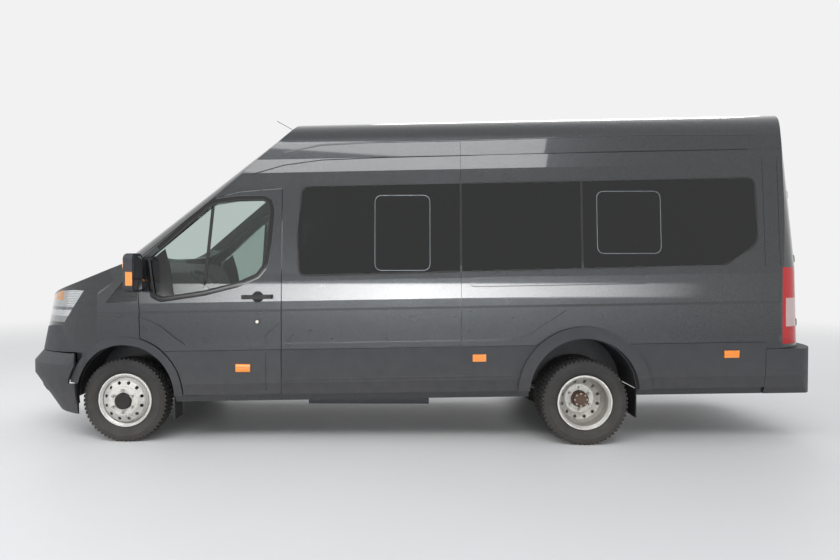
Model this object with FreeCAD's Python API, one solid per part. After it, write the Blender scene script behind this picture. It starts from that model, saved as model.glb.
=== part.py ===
import FreeCAD, Part
import math
import os

from functools import lru_cache

from FreeCAD import Vector

# High roofed minibus with twin rear wheels, in millimetres.
# It is drawn with the front axle in the plane X = 0, X to the rear, Y to its right and Z up
# from the ground, and moved once at the end to the middle of its length.

# Overall sizes
wheelbase = 3750.0
front_overhang = 1023.0
rear_overhang = 1931.0
body_width = 2059.0
overall_height = 2778.0
# Unladen, every line along the body climbs this much from front axle to rear axle.
lines_climb = 62.0
slope = lines_climb / wheelbase
half_width = body_width / 2

# Heights of the lines along the side, taken at the front axle
sill_low = 328.0
sill_seam = 385.0
cladding_top = 751.0
belt_height = 1343.0
window_head = 2066.0
gutter_height = 2297.0
floor_top = 610.0
floor_thickness = 40.0
floor_under = floor_top - floor_thickness

# Walls and gaps
wall = 45.0
roof_wall = 40.0
skin = 18.0
glass_thickness = 5.0
glass_gap = 0.3
seat_gap = 0.3
panel_gap = 6.0
shut_gap = 3.0
cladding_proud = 18.5
band_proud = 12.0
cut_over = 60.0
# Points taken from each moved bend of an outline when it is drawn again.
bend_points = 4
far = 4000.0
full_turn = 360.0

# Wheels and tyres
tyre_radius = 342.0
wheel_height = tyre_radius
tyre_width = 196.0
rim_flange_radius = 220.0
rim_width = 158.0
disc_offset = 109.7
disc_metal = 10.0
front_track = 1732.0
twin_track = 1642.0
twin_spacing = 2 * disc_offset + seat_gap
stud_circle = 180.0
stud_radius = 9.0
stud_hole_radius = 10.5
stud_length = 34.0
front_stud_length = 25.5
stud_count = 6
centre_bore_radius = 69.4
rim_holes = 12
rim_hole_radius = 14.0
rim_hole_circle = 150.0

# Wheel arches, measured from each axle
front_arch_radius = 405.0
front_flare_radius = 470.0
front_arch_height = 402.0
rear_arch_radius = 436.0
rear_flare_radius = 530.0
rear_arch_height = 412.0
flare_width = 2126.0
liner_thickness = 8.0
liner_inner_y = 550.0
# Inside the wings the front housings are wider than their openings, for the steered wheels.
front_housing_radius = 440.0
front_housing_y = 930.0

# Doors
door_front = 137.0
door_rear = 1309.0
rear_door_half = 885.0
rear_door_foot = 700.0
sliding_front = 1330.0
sliding_rear = 2757.0
sliding_head = 2180.0
mirror_reach = 1237.0


def climb(x):
    """Height that a line along the body has gained at x."""
    return x * slope


def at_line(x, height):
    """Point of the side view on the line that starts at this height over the front axle."""
    return Vector(x, 0, height + climb(x))


def curve(points):
    """Smooth edge through the points."""
    spline = Part.BSplineCurve()
    spline.interpolate(points)
    return spline.toShape()


def chain(points):
    """Straight edges from point to point."""
    return [Part.makeLine(a, b) for a, b in zip(points, points[1:])]


def face_of(edges):
    """Plane face inside the edges."""
    return Part.Face(Part.Wire(edges))


def polygon_face(points):
    """Plane face with straight sides."""
    return face_of(chain(points + [points[0]]))


def rounded_face(points, radii):
    """Plane face with straight sides and a round at each corner that has a radius."""
    edges = []
    starts = []
    ends = []
    count = len(points)
    for i, corner in enumerate(points):
        before = (points[i - 1] - corner).normalize()
        after = (points[(i + 1) % count] - corner).normalize()
        half_turn = before.getAngle(after) / 2
        reach = radii[i] / math.tan(half_turn)
        start = corner + before * reach
        end = corner + after * reach
        middle = corner + (before + after).normalize() * (radii[i] / math.sin(half_turn) - radii[i])
        starts.append(start)
        ends.append(end)
        if radii[i] > 0:
            edges.append(Part.Arc(start, middle, end).toShape())
        edges.append(None)
    line = 0
    closed = []
    for edge in edges:
        if edge is not None:
            closed.append(edge)
        else:
            closed.append(Part.makeLine(ends[line], starts[(line + 1) % count]))
            line += 1
    return face_of(closed)


def swept(face, start, run):
    """Face moved to its start and made solid along a run."""
    moved = face.copy()
    moved.translate(start)
    return moved.extrude(run)


def is_plain(edge):
    """True for a straight line or an arc."""
    return isinstance(edge.Curve, (Part.Line, Part.Circle))


def points_along(edge):
    """Points along an edge of a wire, in the wire's own direction."""
    points = edge.discretize(Number=bend_points)
    start = edge.firstVertex(True).Point
    if (points[-1] - start).Length < (points[0] - start).Length:
        points.reverse()
    return points


def grown(face, offset):
    """Flat face with its outline moved outwards, or inwards for a negative offset.

    The bends are drawn again as plain curves, because a STEP file loses walls over moved ones."""
    if offset == 0:
        return face
    ring = face.makeOffset2D(offset, 0).OuterWire.OrderedEdges
    first = next(i for i, edge in enumerate(ring) if is_plain(edge))
    edges = []
    bend = []
    for edge in ring[first:] + ring[:first]:
        if is_plain(edge):
            edges += [curve(bend)] if bend else []
            edges.append(edge)
            bend = []
        else:
            bend += points_along(edge)[1 if bend else 0:]
    edges += [curve(bend)] if bend else []
    return face_of(edges)


def along_y(face, low=-far, high=far):
    """Side view face made solid from one y to another."""
    return swept(face, Vector(0, low, 0), Vector(0, high - low, 0))


def box(low, high):
    """Box between two opposite corners."""
    size = Vector(*high) - Vector(*low)
    return Part.makeBox(size.x, size.y, size.z, Vector(*low))


def mirrored(shape):
    """The same shape on the other side of the vehicle."""
    return shape.mirror(Vector(0, 0, 0), Vector(0, 1, 0))


def both(shape):
    """The shape and its mirror image, as two solids."""
    return Part.makeCompound([shape, mirrored(shape)])


@lru_cache(maxsize=None)
def above(height):
    """Everything above a line along the body."""
    points = [at_line(-far, height), at_line(2 * far, height)]
    points += [Vector(2 * far, 0, far), Vector(-far, 0, far)]
    return along_y(polygon_face(points))


@lru_cache(maxsize=None)
def below(height):
    """Everything below a line along the body."""
    points = [at_line(-far, height), at_line(2 * far, height)]
    points += [Vector(2 * far, 0, -far), Vector(-far, 0, -far)]
    return along_y(polygon_face(points))


def between_x(low, high):
    """Everything between two planes across the body."""
    return box((low, -far, -far), (high, far, far))


left_half = box((-far, -far, -far), (2 * far, 0, far))


# Cross section of the body: shares of the half width and of the overall height.
side_section_shares = [
    (0.932, -0.100), (0.932, 0.118), (0.957, 0.1386), (0.972, 0.173), (0.982, 0.270),
    (0.985, 0.380), (0.979, 0.387), (0.979, 0.410), (0.973, 0.468), (0.967, 0.4885),
    (0.911, 0.745), (0.899, 0.7865), (0.877, 0.827), (0.866, 0.829), (0.846, 0.8735),
]
roof_section_shares = [
    (0.846, 0.8735), (0.825, 0.893), (0.775, 0.918), (0.680, 0.940), (0.534, 0.952),
    (0.290, 0.9605), (0.0, 0.9638),
]


def section_face():
    """Closed cross section of the body over the front axle."""
    side = [Vector(0, a * half_width, b * overall_height) for a, b in side_section_shares]
    arch = [Vector(0, a * half_width, b * overall_height) for a, b in roof_section_shares]
    other_arch = [Vector(0, -p.y, p.z) for p in reversed(arch[:-1])]
    other_side = [Vector(0, -p.y, p.z) for p in reversed(side)]
    edges = chain(side) + [curve(arch + other_arch)] + chain(other_side)
    edges.append(Part.makeLine(other_side[-1], side[0]))
    return face_of(edges)


section_outer = section_face()


@lru_cache(maxsize=None)
def section_prism(offset):
    """Body as wide as its section, moved out or in by the offset, along the sloping lines."""
    face = grown(section_outer, offset)
    start = -front_overhang - cut_over
    length = wheelbase + front_overhang + rear_overhang + 2 * cut_over
    return swept(face, Vector(start, 0, climb(start)), Vector(length, 0, climb(length)))


# Side view of the cabin: shares of the wheelbase and of the overall height.
screen_base_shares = (-0.0507, 0.534)
header_shares = (0.2667, 0.864)
# The side view starts ahead of the header and ends above the arch of the roof, so that the screen
# and the arch shape the body where they meet it.
roof_front_shares = [
    (0.2567, 0.8545), (0.317, 0.912), (0.347, 0.935), (0.387, 0.954), (0.432, 0.968),
    (0.480, 0.976), (0.547, 0.983),
]
roof_rear_shares = [(1.384, 1.0035), (1.420, 0.999), (1.4375, 0.989), (1.448, 0.973), (1.4525, 0.940)]
rear_lean = -0.116


def side_points(shares):
    """Points of the side view from shares of the wheelbase and of the height."""
    return [Vector(a * wheelbase, 0, b * overall_height) for a, b in shares]


def cabin_profile():
    """Side view of the cabin from the screen's base over the roof to the rear face."""
    base = side_points([screen_base_shares])[0]
    front = side_points(roof_front_shares)
    rise = (front[1].z - front[0].z) / (front[1].x - front[0].x)
    base = Vector(base.x, 0, front[0].z - (front[0].x - base.x) * rise)
    rear = side_points(roof_rear_shares)
    foot = Vector(rear[-1].x - rear_lean * (rear[-1].z + far), 0, -far)
    lowest = Vector(base.x, 0, -far)
    edges = [Part.makeLine(lowest, base), Part.makeLine(base, front[0]), curve(front)]
    edges += [Part.makeLine(front[-1], rear[0]), curve(rear), Part.makeLine(rear[-1], foot)]
    edges.append(Part.makeLine(foot, lowest))
    return face_of(edges)


profile_outer = cabin_profile()


def profile_prism(offset):
    """Cabin as its side view, moved in by the offset."""
    return along_y(grown(profile_outer, offset))


# Plan of the windscreen behind its middle, and of the rear face ahead of its middle.
screen_plan_shares = [
    (0.0, 0.0), (0.007, 0.34), (0.021, 0.63), (0.035, 0.777), (0.051, 0.865), (0.072, 0.925),
    (0.100, 0.985), (0.140, 1.06),
]
rear_plan_shares = [
    (0.0, 0.0), (0.003, 0.40), (0.0105, 0.68), (0.024, 0.806), (0.043, 0.903), (0.085, 0.985),
    (0.125, 1.05),
]
screen_rise = (header_shares[1] - screen_base_shares[1]) * overall_height
screen_run = (header_shares[0] - screen_base_shares[0]) * wheelbase
screen_angle = math.atan2(screen_rise, screen_run)


def plan_face(centre_x, shares, direction):
    """Plan outline whose rounded end points against the direction along X."""
    side = [Vector(centre_x + direction * a * wheelbase, b * half_width, 0) for a, b in shares]
    other = [Vector(p.x, -p.y, 0) for p in reversed(side[1:])]
    back = centre_x + direction * (wheelbase + front_overhang + rear_overhang + far)
    edges = [curve(other + side)]
    edges += chain([side[-1], Vector(back, side[-1].y, 0), Vector(back, -side[-1].y, 0), other[0]])
    return face_of(edges)


def leaning_prism(face, height, lean, foot, top):
    """Plan face at a height, made solid from foot to top along a leaning line."""
    return swept(face, Vector((foot - height) * lean, 0, foot), Vector((top - foot) * lean, 0, top - foot))


@lru_cache(maxsize=None)
def screen_prism(offset):
    """Everything behind the windscreen's surface, moved in by the offset."""
    base = side_points([screen_base_shares])[0]
    face = plan_face(base.x, screen_plan_shares, 1)
    if offset != 0:
        face = grown(face, offset)
        face.translate(Vector(-offset / math.sin(screen_angle) + offset, 0, 0))
    return leaning_prism(face, base.z, 1 / math.tan(screen_angle), -far / 2, far)


rear_face_height = 1436.0
rear_face_x = 5600.0
rear_lower_lean = -0.035


@lru_cache(maxsize=None)
def rear_prism(offset):
    """Everything ahead of the rear face, moved in by the offset."""
    face = grown(plan_face(rear_face_x, rear_plan_shares, -1), offset)
    upper = leaning_prism(face, rear_face_height, rear_lean, -far / 4, far)
    return upper.common(leaning_prism(face, rear_face_height, rear_lower_lean, -far / 4, far))


# Nose: side view of bonnet and front, and its plan behind the middle.
nose_profile_shares = [
    (-0.2515, 0.250), (-0.2510, 0.300), (-0.2425, 0.345), (-0.2320, 0.380), (-0.2180, 0.412),
    (-0.2020, 0.437), (-0.1800, 0.455), (-0.1440, 0.475), (-0.1067, 0.4935), (-0.0507, 0.5225),
    (0.0400, 0.570),
]
nose_plan_shares = [
    (0.0, 0.0), (0.003, 0.29), (0.012, 0.486), (0.027, 0.631), (0.053, 0.767), (0.088, 0.865),
    (0.139, 0.932), (0.213, 0.976), (0.280, 1.01), (0.420, 1.06),
]
nose_lean = 0.215
nose_height = 730.0
nose_x = -943.0
bonnet_crown_radius = 6000.0
crown_spread = 14.0


def crowned(face, spread):
    """Side view face turned about a line far below, so that its top is arched across."""
    axis = Vector(0, 0, -bonnet_crown_radius)
    turned = face.copy()
    turned.rotate(axis, Vector(1, 0, 0), -spread)
    return turned.revolve(axis, Vector(1, 0, 0), 2 * spread)


@lru_cache(maxsize=None)
def nose_prism(offset):
    """Nose from the bumper's seat to the windscreen, moved in by the offset."""
    points = side_points(nose_profile_shares)
    low = points[0].z - 2 * cladding_top
    edges = [curve(points)]
    edges += chain([points[-1], Vector(points[-1].x + door_rear, 0, points[-1].z)])
    corner = Vector(points[-1].x + door_rear, 0, low)
    edges += chain([Vector(corner.x, 0, points[-1].z), corner, Vector(points[0].x, 0, low), points[0]])
    plan = grown(plan_face(nose_x, nose_plan_shares, 1), offset)
    body = crowned(grown(face_of(edges), offset), crown_spread)
    return body.common(leaning_prism(plan, nose_height, nose_lean, -far / 4, far))


@lru_cache(maxsize=None)
def proud_body(offset):
    """Lower body grown outwards by the offset, for what lies on its sides."""
    nose = nose_prism(offset).common(section_prism(offset))
    start = side_points([screen_base_shares])[0].x
    side = section_prism(offset).common(box((start, -far, -far), (2 * far, far, belt_height)))
    return nose.fuse(side)


def cabin(side_offset, roof_offset, end_offset):
    """Cabin volume with its sides, roof and ends moved in."""
    volume = section_prism(side_offset).common(profile_prism(roof_offset))
    return volume.common(screen_prism(end_offset)).common(rear_prism(end_offset))


# Outlines in the side view

# Every arch is round about a centre a little behind its axle.
front_arch_x = 26.0
rear_arch_x = wheelbase - 10.0
door_width = door_rear - door_front
door_height = 1672.0
# Shares of the door's width behind its front edge and of its height over the sill seam.
door_front_edge_shares = [(-0.0213, 0.610), (0.0, 0.519), (0.0145, 0.3756)]
door_top_edge_shares = [(1.0, 1.0), (0.7065, 0.987), (0.538, 0.962), (0.472, 0.933), (0.024, 0.685)]
door_window_shares = [
    (0.075, 0.6675), (0.118, 0.494), (0.165, 0.4785), (0.466, 0.5066), (0.684, 0.5437),
    (0.822, 0.587), (0.864, 0.6256), (0.894, 0.7386), (0.911, 0.888), (0.898, 0.930),
    (0.864, 0.9414), (0.691, 0.9414), (0.539, 0.927), (0.485, 0.906),
]


def door_point(share):
    """Point of the side view from shares of the front door."""
    return at_line(door_front + share[0] * door_width, sill_seam + share[1] * door_height)


def arc_about(centre, radius, start, end):
    """Arc from one point to another about a centre, both on its circle."""
    middle = (start + end) * 0.5 - centre
    return Part.Arc(start, centre + middle.normalize() * radius, end).toShape()


def on_circle(centre, radius, x):
    """Upper point of a circle in the side view at x."""
    rise = math.sqrt(radius ** 2 - (x - centre.x) ** 2)
    return Vector(x, 0, centre.z + rise)


def door_face():
    """Outline of the opening for a front door, which follows the flare of the arch."""
    edge = [door_point(s) for s in door_front_edge_shares]
    centre = Vector(front_arch_x, 0, front_arch_height)
    radius = front_flare_radius + shut_gap
    upper = on_circle(centre, radius, edge[-1].x + panel_gap)
    reach = math.sqrt(radius ** 2 - (at_line(front_arch_x, sill_seam).z - centre.z) ** 2)
    foot = Vector(centre.x + reach, 0, at_line(front_arch_x, sill_seam).z)
    top = [door_point(s) for s in door_top_edge_shares]
    edges = chain(edge + [upper]) + [arc_about(centre, radius, upper, foot)]
    edges += chain([foot, door_point((1.0, 0.0))] + top + [edge[0]])
    return face_of(edges)


def door_window_face():
    """Outline of the glass opening in a front door."""
    return polygon_face([door_point(s) for s in door_window_shares])


# Side windows: corners in shares of the glazed length and of the window height.
glazed_front = 1432.0
glazed_rear = 5132.0
window_height = window_head - belt_height
side_window_shares = [(0.005, 0.0), (0.0, 0.45), (0.010, 1.0), (0.995, 1.0), (1.0, 0.27), (0.93, 0.035)]
side_window_radii = [60.0, 0.0, 70.0, 70.0, 160.0, 130.0]
pane_seams = [sliding_rear, 3730.0]
pane_gap = 16.0
window_rebate = 28.0


def side_window_face(inset):
    """Outline of the glazed band along the side, made smaller by the inset."""
    length = glazed_rear - glazed_front
    points = []
    for a, b in side_window_shares:
        points.append(at_line(glazed_front + a * length, belt_height + b * window_height))
    face = rounded_face(points, side_window_radii)
    return grown(face, -inset)


def pane_spans():
    """Front and rear x of each pane in the glazed band."""
    starts = [glazed_front - cut_over] + [x + pane_gap / 2 for x in pane_seams]
    ends = [x - pane_gap / 2 for x in pane_seams] + [glazed_rear + cut_over]
    return list(zip(starts, ends))


def side_window_panes(inset):
    """The three pane outlines, each made smaller by the inset, as solids across the body."""
    band = along_y(side_window_face(inset))
    return [band.common(between_x(a + inset, b - inset)) for a, b in pane_spans()]


# Front screen, seen from ahead: shares of the half width and of the overall height.
screen_outline_shares = [(0.0, 0.5445), (0.80, 0.556), (0.70, 0.826), (0.0, 0.832)]
screen_corner = 80.0
screen_rear_limit = 1150.0


def front_view_face(shares, radius):
    """Outline seen from ahead, the same on both sides, with rounded outer corners."""
    right = [Vector(0, a * half_width, b * overall_height) for a, b in shares]
    left = [Vector(0, -p.y, p.z) for p in reversed(right[1:-1])]
    points = right + left
    radii = [0 if p.y == 0 else radius for p in points]
    return rounded_face(points, radii)


def along_x(face, low, high):
    """Front view face made solid from one x to another."""
    moved = face.copy()
    moved.translate(Vector(low, 0, 0))
    return moved.extrude(Vector(high - low, 0, 0))


def screen_region(inset):
    """The windscreen's outline made solid along the vehicle."""
    face = grown(front_view_face(screen_outline_shares, screen_corner), -inset)
    return along_x(face, -2 * front_overhang, screen_rear_limit)


# The gutter sweeps down to the windscreen's top corner: shares of wheelbase and overall height.
gutter_sweep_shares = [
    (0.160, 0.950), (0.2675, 0.783), (0.308, 0.798), (0.338, 0.809), (0.430, 0.8207), (0.560, 0.8269),
]


def gutter_region():
    """Everything above the gutter and behind the top of the windscreen."""
    points = [at_line(a * wheelbase, b * overall_height) for a, b in gutter_sweep_shares]
    points += [at_line(2 * far, gutter_height), Vector(2 * far, 0, far), Vector(points[0].x, 0, far)]
    return along_y(polygon_face(points))


# Front end: lamps, grille, bonnet, wings and bumper
firewall_x = 100.0
firewall_thickness = 15.0
nose_gap = 6.0
bonnet_rear = -196.0
bonnet_low = 1046.0
bonnet_plan_shares = [(-0.30, 0.50), (-0.235, 0.53), (-0.20, 0.665), (-0.089, 0.825), (-0.0522, 0.835)]
lamp_front_shares = [
    (0.505, 0.326), (0.680, 0.3365), (1.05, 0.3545), (1.05, 0.4555), (0.826, 0.4465),
    (0.670, 0.4265), (0.505, 0.3925),
]
lamp_side_shares = [(-0.40, 0.30), (-0.1450, 0.3385), (-0.1210, 0.3835), (-0.0870, 0.4480), (-0.40, 0.4700)]
lamp_depth = 60.0
grille_shares = [(0.0, 0.2665), (0.420, 0.2665), (0.500, 0.330), (0.500, 0.375), (0.0, 0.3765)]
grille_depth = 30.0
grille_border = 34.0
grille_bar = 26.0
grille_bars = 3
wing_rear_shares = [
    (-0.60, -0.10), (0.0349, -0.10), (0.0349, 0.4150), (-0.0301, 0.4150), (0.0187, 0.5040),
    (-0.0160, 0.5450), (-0.60, 0.5450),
]
corner_seam_shares = [(-0.60, 0.2665), (-0.1180, 0.2665), (-0.1430, 0.3440), (-0.60, 0.3440)]
cowl_half = 790.0
wing_shoulder_x = -480.0
bumper_x = -1023.0
bumper_plan_shares = [
    (0.0, 0.0), (0.0035, 0.291), (0.0128, 0.486), (0.0275, 0.631), (0.0555, 0.777), (0.086, 0.874),
    (0.1235, 0.952), (0.166, 1.0), (0.210, 1.02), (0.300, 1.05),
]
bumper_top = 735.0
bumper_gap = 6.0
bumper_bottom = 232.0
bumper_shoulder = 641.0
bumper_waist = 541.0
bumper_upper_lean = 0.90
bumper_lower_lean = -0.71
bumper_wall = 30.0
bumper_split = 489.0
bumper_rear = -380.0
intake_half = 430.0
intake_low = 330.0
intake_high = 470.0

cab_outer = cabin(0, 0, 0)
nose_outer = nose_prism(0).common(section_prism(0))
room = cabin(-wall, -roof_wall, -wall)
nose_room = nose_prism(-skin).common(section_prism(-skin))


# The lower body stands proud below a crease that rises over both arches like an eyebrow.
front_brow_shares = [
    (-0.60, 0.2960), (-0.1160, 0.2960), (-0.0890, 0.3215), (-0.0430, 0.3615), (0.0050, 0.3755),
    (0.0430, 0.3700), (0.0830, 0.3480), (0.1150, 0.3120), (0.1400, 0.2885), (0.1700, 0.2870),
]
rear_brow_shares = [
    (0.8400, 0.2880), (0.8700, 0.2950), (0.9300, 0.3440), (0.9590, 0.3700), (0.9870, 0.3755),
    (1.0150, 0.3680), (1.0520, 0.3480), (1.1080, 0.2960), (1.1400, 0.2900), (1.6000, 0.2880),
]


def brow_region():
    """Everything below the crease along the side."""
    points = [at_line(a * wheelbase, b * overall_height) for a, b in front_brow_shares + rear_brow_shares]
    return along_y(polygon_face(points + [Vector(2 * far, 0, -far), Vector(-2 * front_overhang, 0, -far)]))


def arch_cut(x, height, radius, inner_y):
    """Cylinder across the body for a wheel arch, on both sides of a middle strip."""
    round_hole = Part.makeCylinder(radius, 2 * far, Vector(x, -far, height), Vector(0, 1, 0))
    return round_hole.cut(box((-far, -inner_y, -far), (2 * far, inner_y, far)))


rear_arch_centre_z = rear_arch_height + lines_climb / 4
housing = arch_cut(front_arch_x, front_arch_height, front_housing_radius, liner_inner_y)
housing = housing.common(box((-far, -front_housing_y, -far), (far, front_housing_y, far)))
front_arch = arch_cut(front_arch_x, front_arch_height, front_arch_radius, liner_inner_y).fuse(housing)
rear_arch = arch_cut(rear_arch_x, rear_arch_centre_z, rear_arch_radius, liner_inner_y)


def body_shell():
    """Whole painted body: hull less the rooms inside and less the arches, down to the sill."""
    band = proud_body(band_proud).common(brow_region()).common(above(cladding_top)).common(rear_prism(0))
    hull = cab_outer.fuse([nose_outer, band])
    behind = room.cut(nose_outer.common(between_x(-2 * front_overhang, firewall_x)))
    under_floor = box((-2 * front_overhang, -front_housing_y, -far), (2 * far, front_housing_y, far))
    under_floor = under_floor.common(below(floor_under))
    ahead = nose_room.common(between_x(-2 * front_overhang, firewall_x - firewall_thickness)).fuse(under_floor)
    shell = hull.cut([behind, ahead, front_arch, rear_arch])
    return hull, shell.common(above(sill_low))


hull, shell = body_shell()


def side_zone(shares):
    """Side view polygon in shares of wheelbase and overall height, made solid across."""
    return along_y(polygon_face(side_points(shares)))


def front_zone(shares, low, high):
    """Front view polygon, the same on both sides, made solid from one x to another."""
    right = [Vector(0, a * half_width, b * overall_height) for a, b in shares]
    left = [Vector(0, -p.y, p.z) for p in reversed(right) if p.y > 0]
    return along_x(polygon_face(right + left), low, high)


def bonnet_zone(gap):
    """Plan of the bonnet made solid above the grille, smaller by a gap."""
    right = [Vector(a * wheelbase, b * half_width - gap, bonnet_low + gap / 2) for a, b in bonnet_plan_shares]
    right[-1].x -= gap
    left = [Vector(p.x, -p.y, p.z) for p in reversed(right)]
    return polygon_face(right + left).extrude(Vector(0, 0, far))


def lamp_zone():
    """Space of the headlamps, from their outlines seen from ahead and from the side."""
    points = [Vector(0, a * half_width, b * overall_height) for a, b in lamp_front_shares]
    right = along_x(polygon_face(points), -2 * front_overhang, 0)
    return right.fuse(mirrored(right)).common(side_zone(lamp_side_shares))


nose_reach = 2 * front_overhang
lamp_space = lamp_zone()
grille_space = front_zone(grille_shares, -nose_reach, bonnet_rear)
bonnet_space = bonnet_zone(0)
bumper_space = box((-nose_reach, -far, -far), (bumper_rear, far, bumper_top + bumper_gap))
door_space = along_y(door_face())
screen_space = screen_region(0).common(between_x(-nose_reach, screen_rear_limit))
roof_space = gutter_region()
wing_space = side_zone(wing_rear_shares)
corner_space = side_zone(corner_seam_shares)


def one_solid(shape):
    """Largest solid of a cut, without the slivers that a cut can leave."""
    return max(shape.Solids, key=lambda solid: solid.Volume)


def bonnet():
    """Bonnet skin with its gap all round."""
    return one_solid(shell.common(bonnet_zone(nose_gap)).cut([lamp_space, screen_space]))


def headlamps():
    """Lens and housing of both headlamps, set in the nose."""
    depth = nose_prism(-lamp_depth).common(section_prism(-lamp_depth))
    lamps = nose_outer.common(lamp_space).cut([depth, bonnet_space])
    return Part.makeCompound(lamps.Solids)


def radiator_grille():
    """Grille frame in the nose with level bars across its opening."""
    layer = nose_outer.common(grille_space).cut([nose_prism(-grille_depth), bumper_space])
    low = grille_shares[0][1] * overall_height + grille_border
    high = grille_shares[-1][1] * overall_height - grille_border
    side = grille_shares[1][0] * half_width - grille_border
    panel = layer.cut(box((-nose_reach, -side, low), (bonnet_rear, side, high)))
    pitch = (high - low) / (grille_bars + 1)
    strips = []
    for i in range(grille_bars):
        middle = low + pitch * (i + 1)
        start = (-nose_reach, -side, middle - grille_bar / 2)
        strips.append(box(start, (bonnet_rear, side, middle + grille_bar / 2)))
    return one_solid(panel.fuse([layer.common(strip) for strip in strips]))


@lru_cache(maxsize=None)
def bumper_hull(offset):
    """Outside of the front bumper, moved back and in by the offset."""
    plan = plan_face(bumper_x - offset, bumper_plan_shares, 1)
    upright = leaning_prism(plan, bumper_waist, 0, -far / 2, far)
    upper = leaning_prism(plan, bumper_shoulder, bumper_upper_lean, -far / 4, far)
    lower = leaning_prism(plan, bumper_waist, bumper_lower_lean, -far / 4, far / 4)
    sides = section_prism(cladding_proud + offset)
    return upright.common(upper).common(lower).common(sides)


def front_bumper():
    """Front bumper with its intake, and the corner covers below the lamps."""
    outer = bumper_hull(0).common(box((-nose_reach, -far, bumper_bottom), (bumper_rear, far, bumper_top)))
    hollow = bumper_hull(-bumper_wall)
    centre = Vector(front_arch_x, -far, front_arch_height)
    flare = Part.makeCylinder(front_flare_radius, 2 * far, centre, Vector(0, 1, 0))
    flare = flare.common(box((-nose_reach, -far, bumper_split), (0, far, far)))
    intake = box((-nose_reach, -intake_half, intake_low), (bumper_rear, intake_half, intake_high))
    body = one_solid(outer.cut([hollow, front_arch, flare, intake]))
    covers = shell.common(corner_space).cut([grille_space, lamp_space, bonnet_space])
    return Part.makeCompound([body] + [solid for solid in covers.Solids if solid.Volume > skin ** 3])


def front_wings():
    """Both front wings, from the lamps to the doors, outside the bonnet."""
    middle = box((wing_shoulder_x, -cowl_half, -far), (far, cowl_half, far))
    skin_shape = shell.common(wing_space).cut([middle, bonnet_space, lamp_space, grille_space, corner_space])
    skin_shape = skin_shape.cut([bumper_space, door_space])
    left = one_solid(skin_shape.common(left_half))
    return both(left)


def windscreen():
    """Curved windscreen, flush with the posts."""
    return one_solid(cab_outer.cut(screen_prism(-glass_thickness)).common(screen_region(glass_gap)))


def cab_frame():
    """Front posts, cowl, firewall and the sills under the front doors."""
    front = shell.common(between_x(-nose_reach, door_rear))
    inner_wing = wing_space.cut(box((wing_shoulder_x, -cowl_half, -far), (far, cowl_half, far)))
    cuts = [screen_space, door_space, roof_space, bonnet_space, lamp_space, grille_space, corner_space]
    front = front.cut(cuts + [inner_wing, bumper_space])
    return one_solid(front)


def front_door_shell():
    """Left front door with its window opening."""
    zone = along_y(grown(door_face(), -panel_gap), -far, -cowl_half / 2)
    window = along_y(door_window_face())
    edge = section_prism(-door_lip).common(between_x(door_rear - 3 * panel_gap, door_rear))
    return one_solid(shell.common(zone).cut([window, edge]))


door_lip = 20.0
door_glass_depth = 16.0


def front_door_glass():
    """Glass of the left front door, edge to edge in its opening."""
    window = along_y(grown(door_window_face(), -glass_gap), -far, 0)
    pane = section_prism(-door_glass_depth).cut(section_prism(-door_glass_depth - glass_thickness))
    return one_solid(pane.common(window))


def side_wall_left():
    """Left wall from the front door to the rear corner, with a rebate round each pane."""
    zone = between_x(door_rear, 2 * far).common(left_half)
    openings = [roof_space, rear_opening_left(), bumper_rear_space(), tail_lamp_zone(0)]
    wall_shape = shell.common(zone).cut(openings)
    holes = side_window_panes(window_rebate)
    outer_layer = cab_outer.cut(section_prism(-glass_thickness - glass_gap))
    rebates = [outer_layer.common(pane) for pane in side_window_panes(0)]
    return one_solid(wall_shape.cut(holes + rebates))


def side_glass_left():
    """The three dark panes of the left side, outside the pillars."""
    layer = section_prism(0).cut(section_prism(-glass_thickness)).common(left_half)
    return [one_solid(layer.common(pane)) for pane in side_window_panes(glass_gap)]


# Rear end
rear_bumper_x = 5681.0
rear_bumper_start = 5180.0
rear_bumper_low = 330.0
rear_bumper_high = 690.0
rear_bumper_plan_shares = [
    (0.0, 0.0), (0.003, 0.486), (0.0096, 0.728), (0.0216, 0.855), (0.0340, 0.925), (0.0530, 0.982),
    (0.0850, 1.02), (0.120, 1.04),
]
rear_window_inner = 90.0
rear_window_outer = 790.0
rear_window_low = 1420.0
rear_window_high = 2010.0
rear_window_corner = 60.0
lamp_inner_y = 905.0
tail_lamp_low = 728.0
tail_lamp_high = 1340.0
tail_lamp_front = 5317.0


def bumper_rear_space():
    """Space of the rear bumper."""
    return between_x(rear_bumper_start, 2 * far).common(below(rear_bumper_high))


def rear_bumper():
    """Rear bumper that wraps round both corners and serves as a step."""
    zone = bumper_rear_space().common(above(rear_bumper_low))
    hollow = rear_bumper_hull(-bumper_wall).common(below(rear_bumper_high - bumper_wall))
    inside = section_prism(-wall + seat_gap).common(rear_prism(-wall - panel_gap + seat_gap))
    inside = inside.common(above(floor_under - seat_gap))
    return one_solid(rear_bumper_hull(0).common(zone).cut([hollow, inside]))


def rear_opening_left():
    """Left half of the rear opening, as deep as the rear doors and their gap."""
    half = box((wheelbase, -rear_door_half, -far), (2 * far, 0, far))
    return half.cut(rear_prism(-wall - panel_gap))


def rear_door_zone(gap):
    """Space of the left rear door, smaller by a gap."""
    low = above(rear_door_foot)
    zone = box((wheelbase, -rear_door_half + gap, -far), (2 * far, -gap / 2, far)).common(low)
    return zone.cut(rear_prism(-wall))


def rear_door_shell():
    """Left rear door with its window opening."""
    high = below(gutter_height - panel_gap).cut(roof_space)
    window = rear_window_prism(0)
    return one_solid(shell.common(rear_door_zone(panel_gap)).common(high).cut(window))


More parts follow.
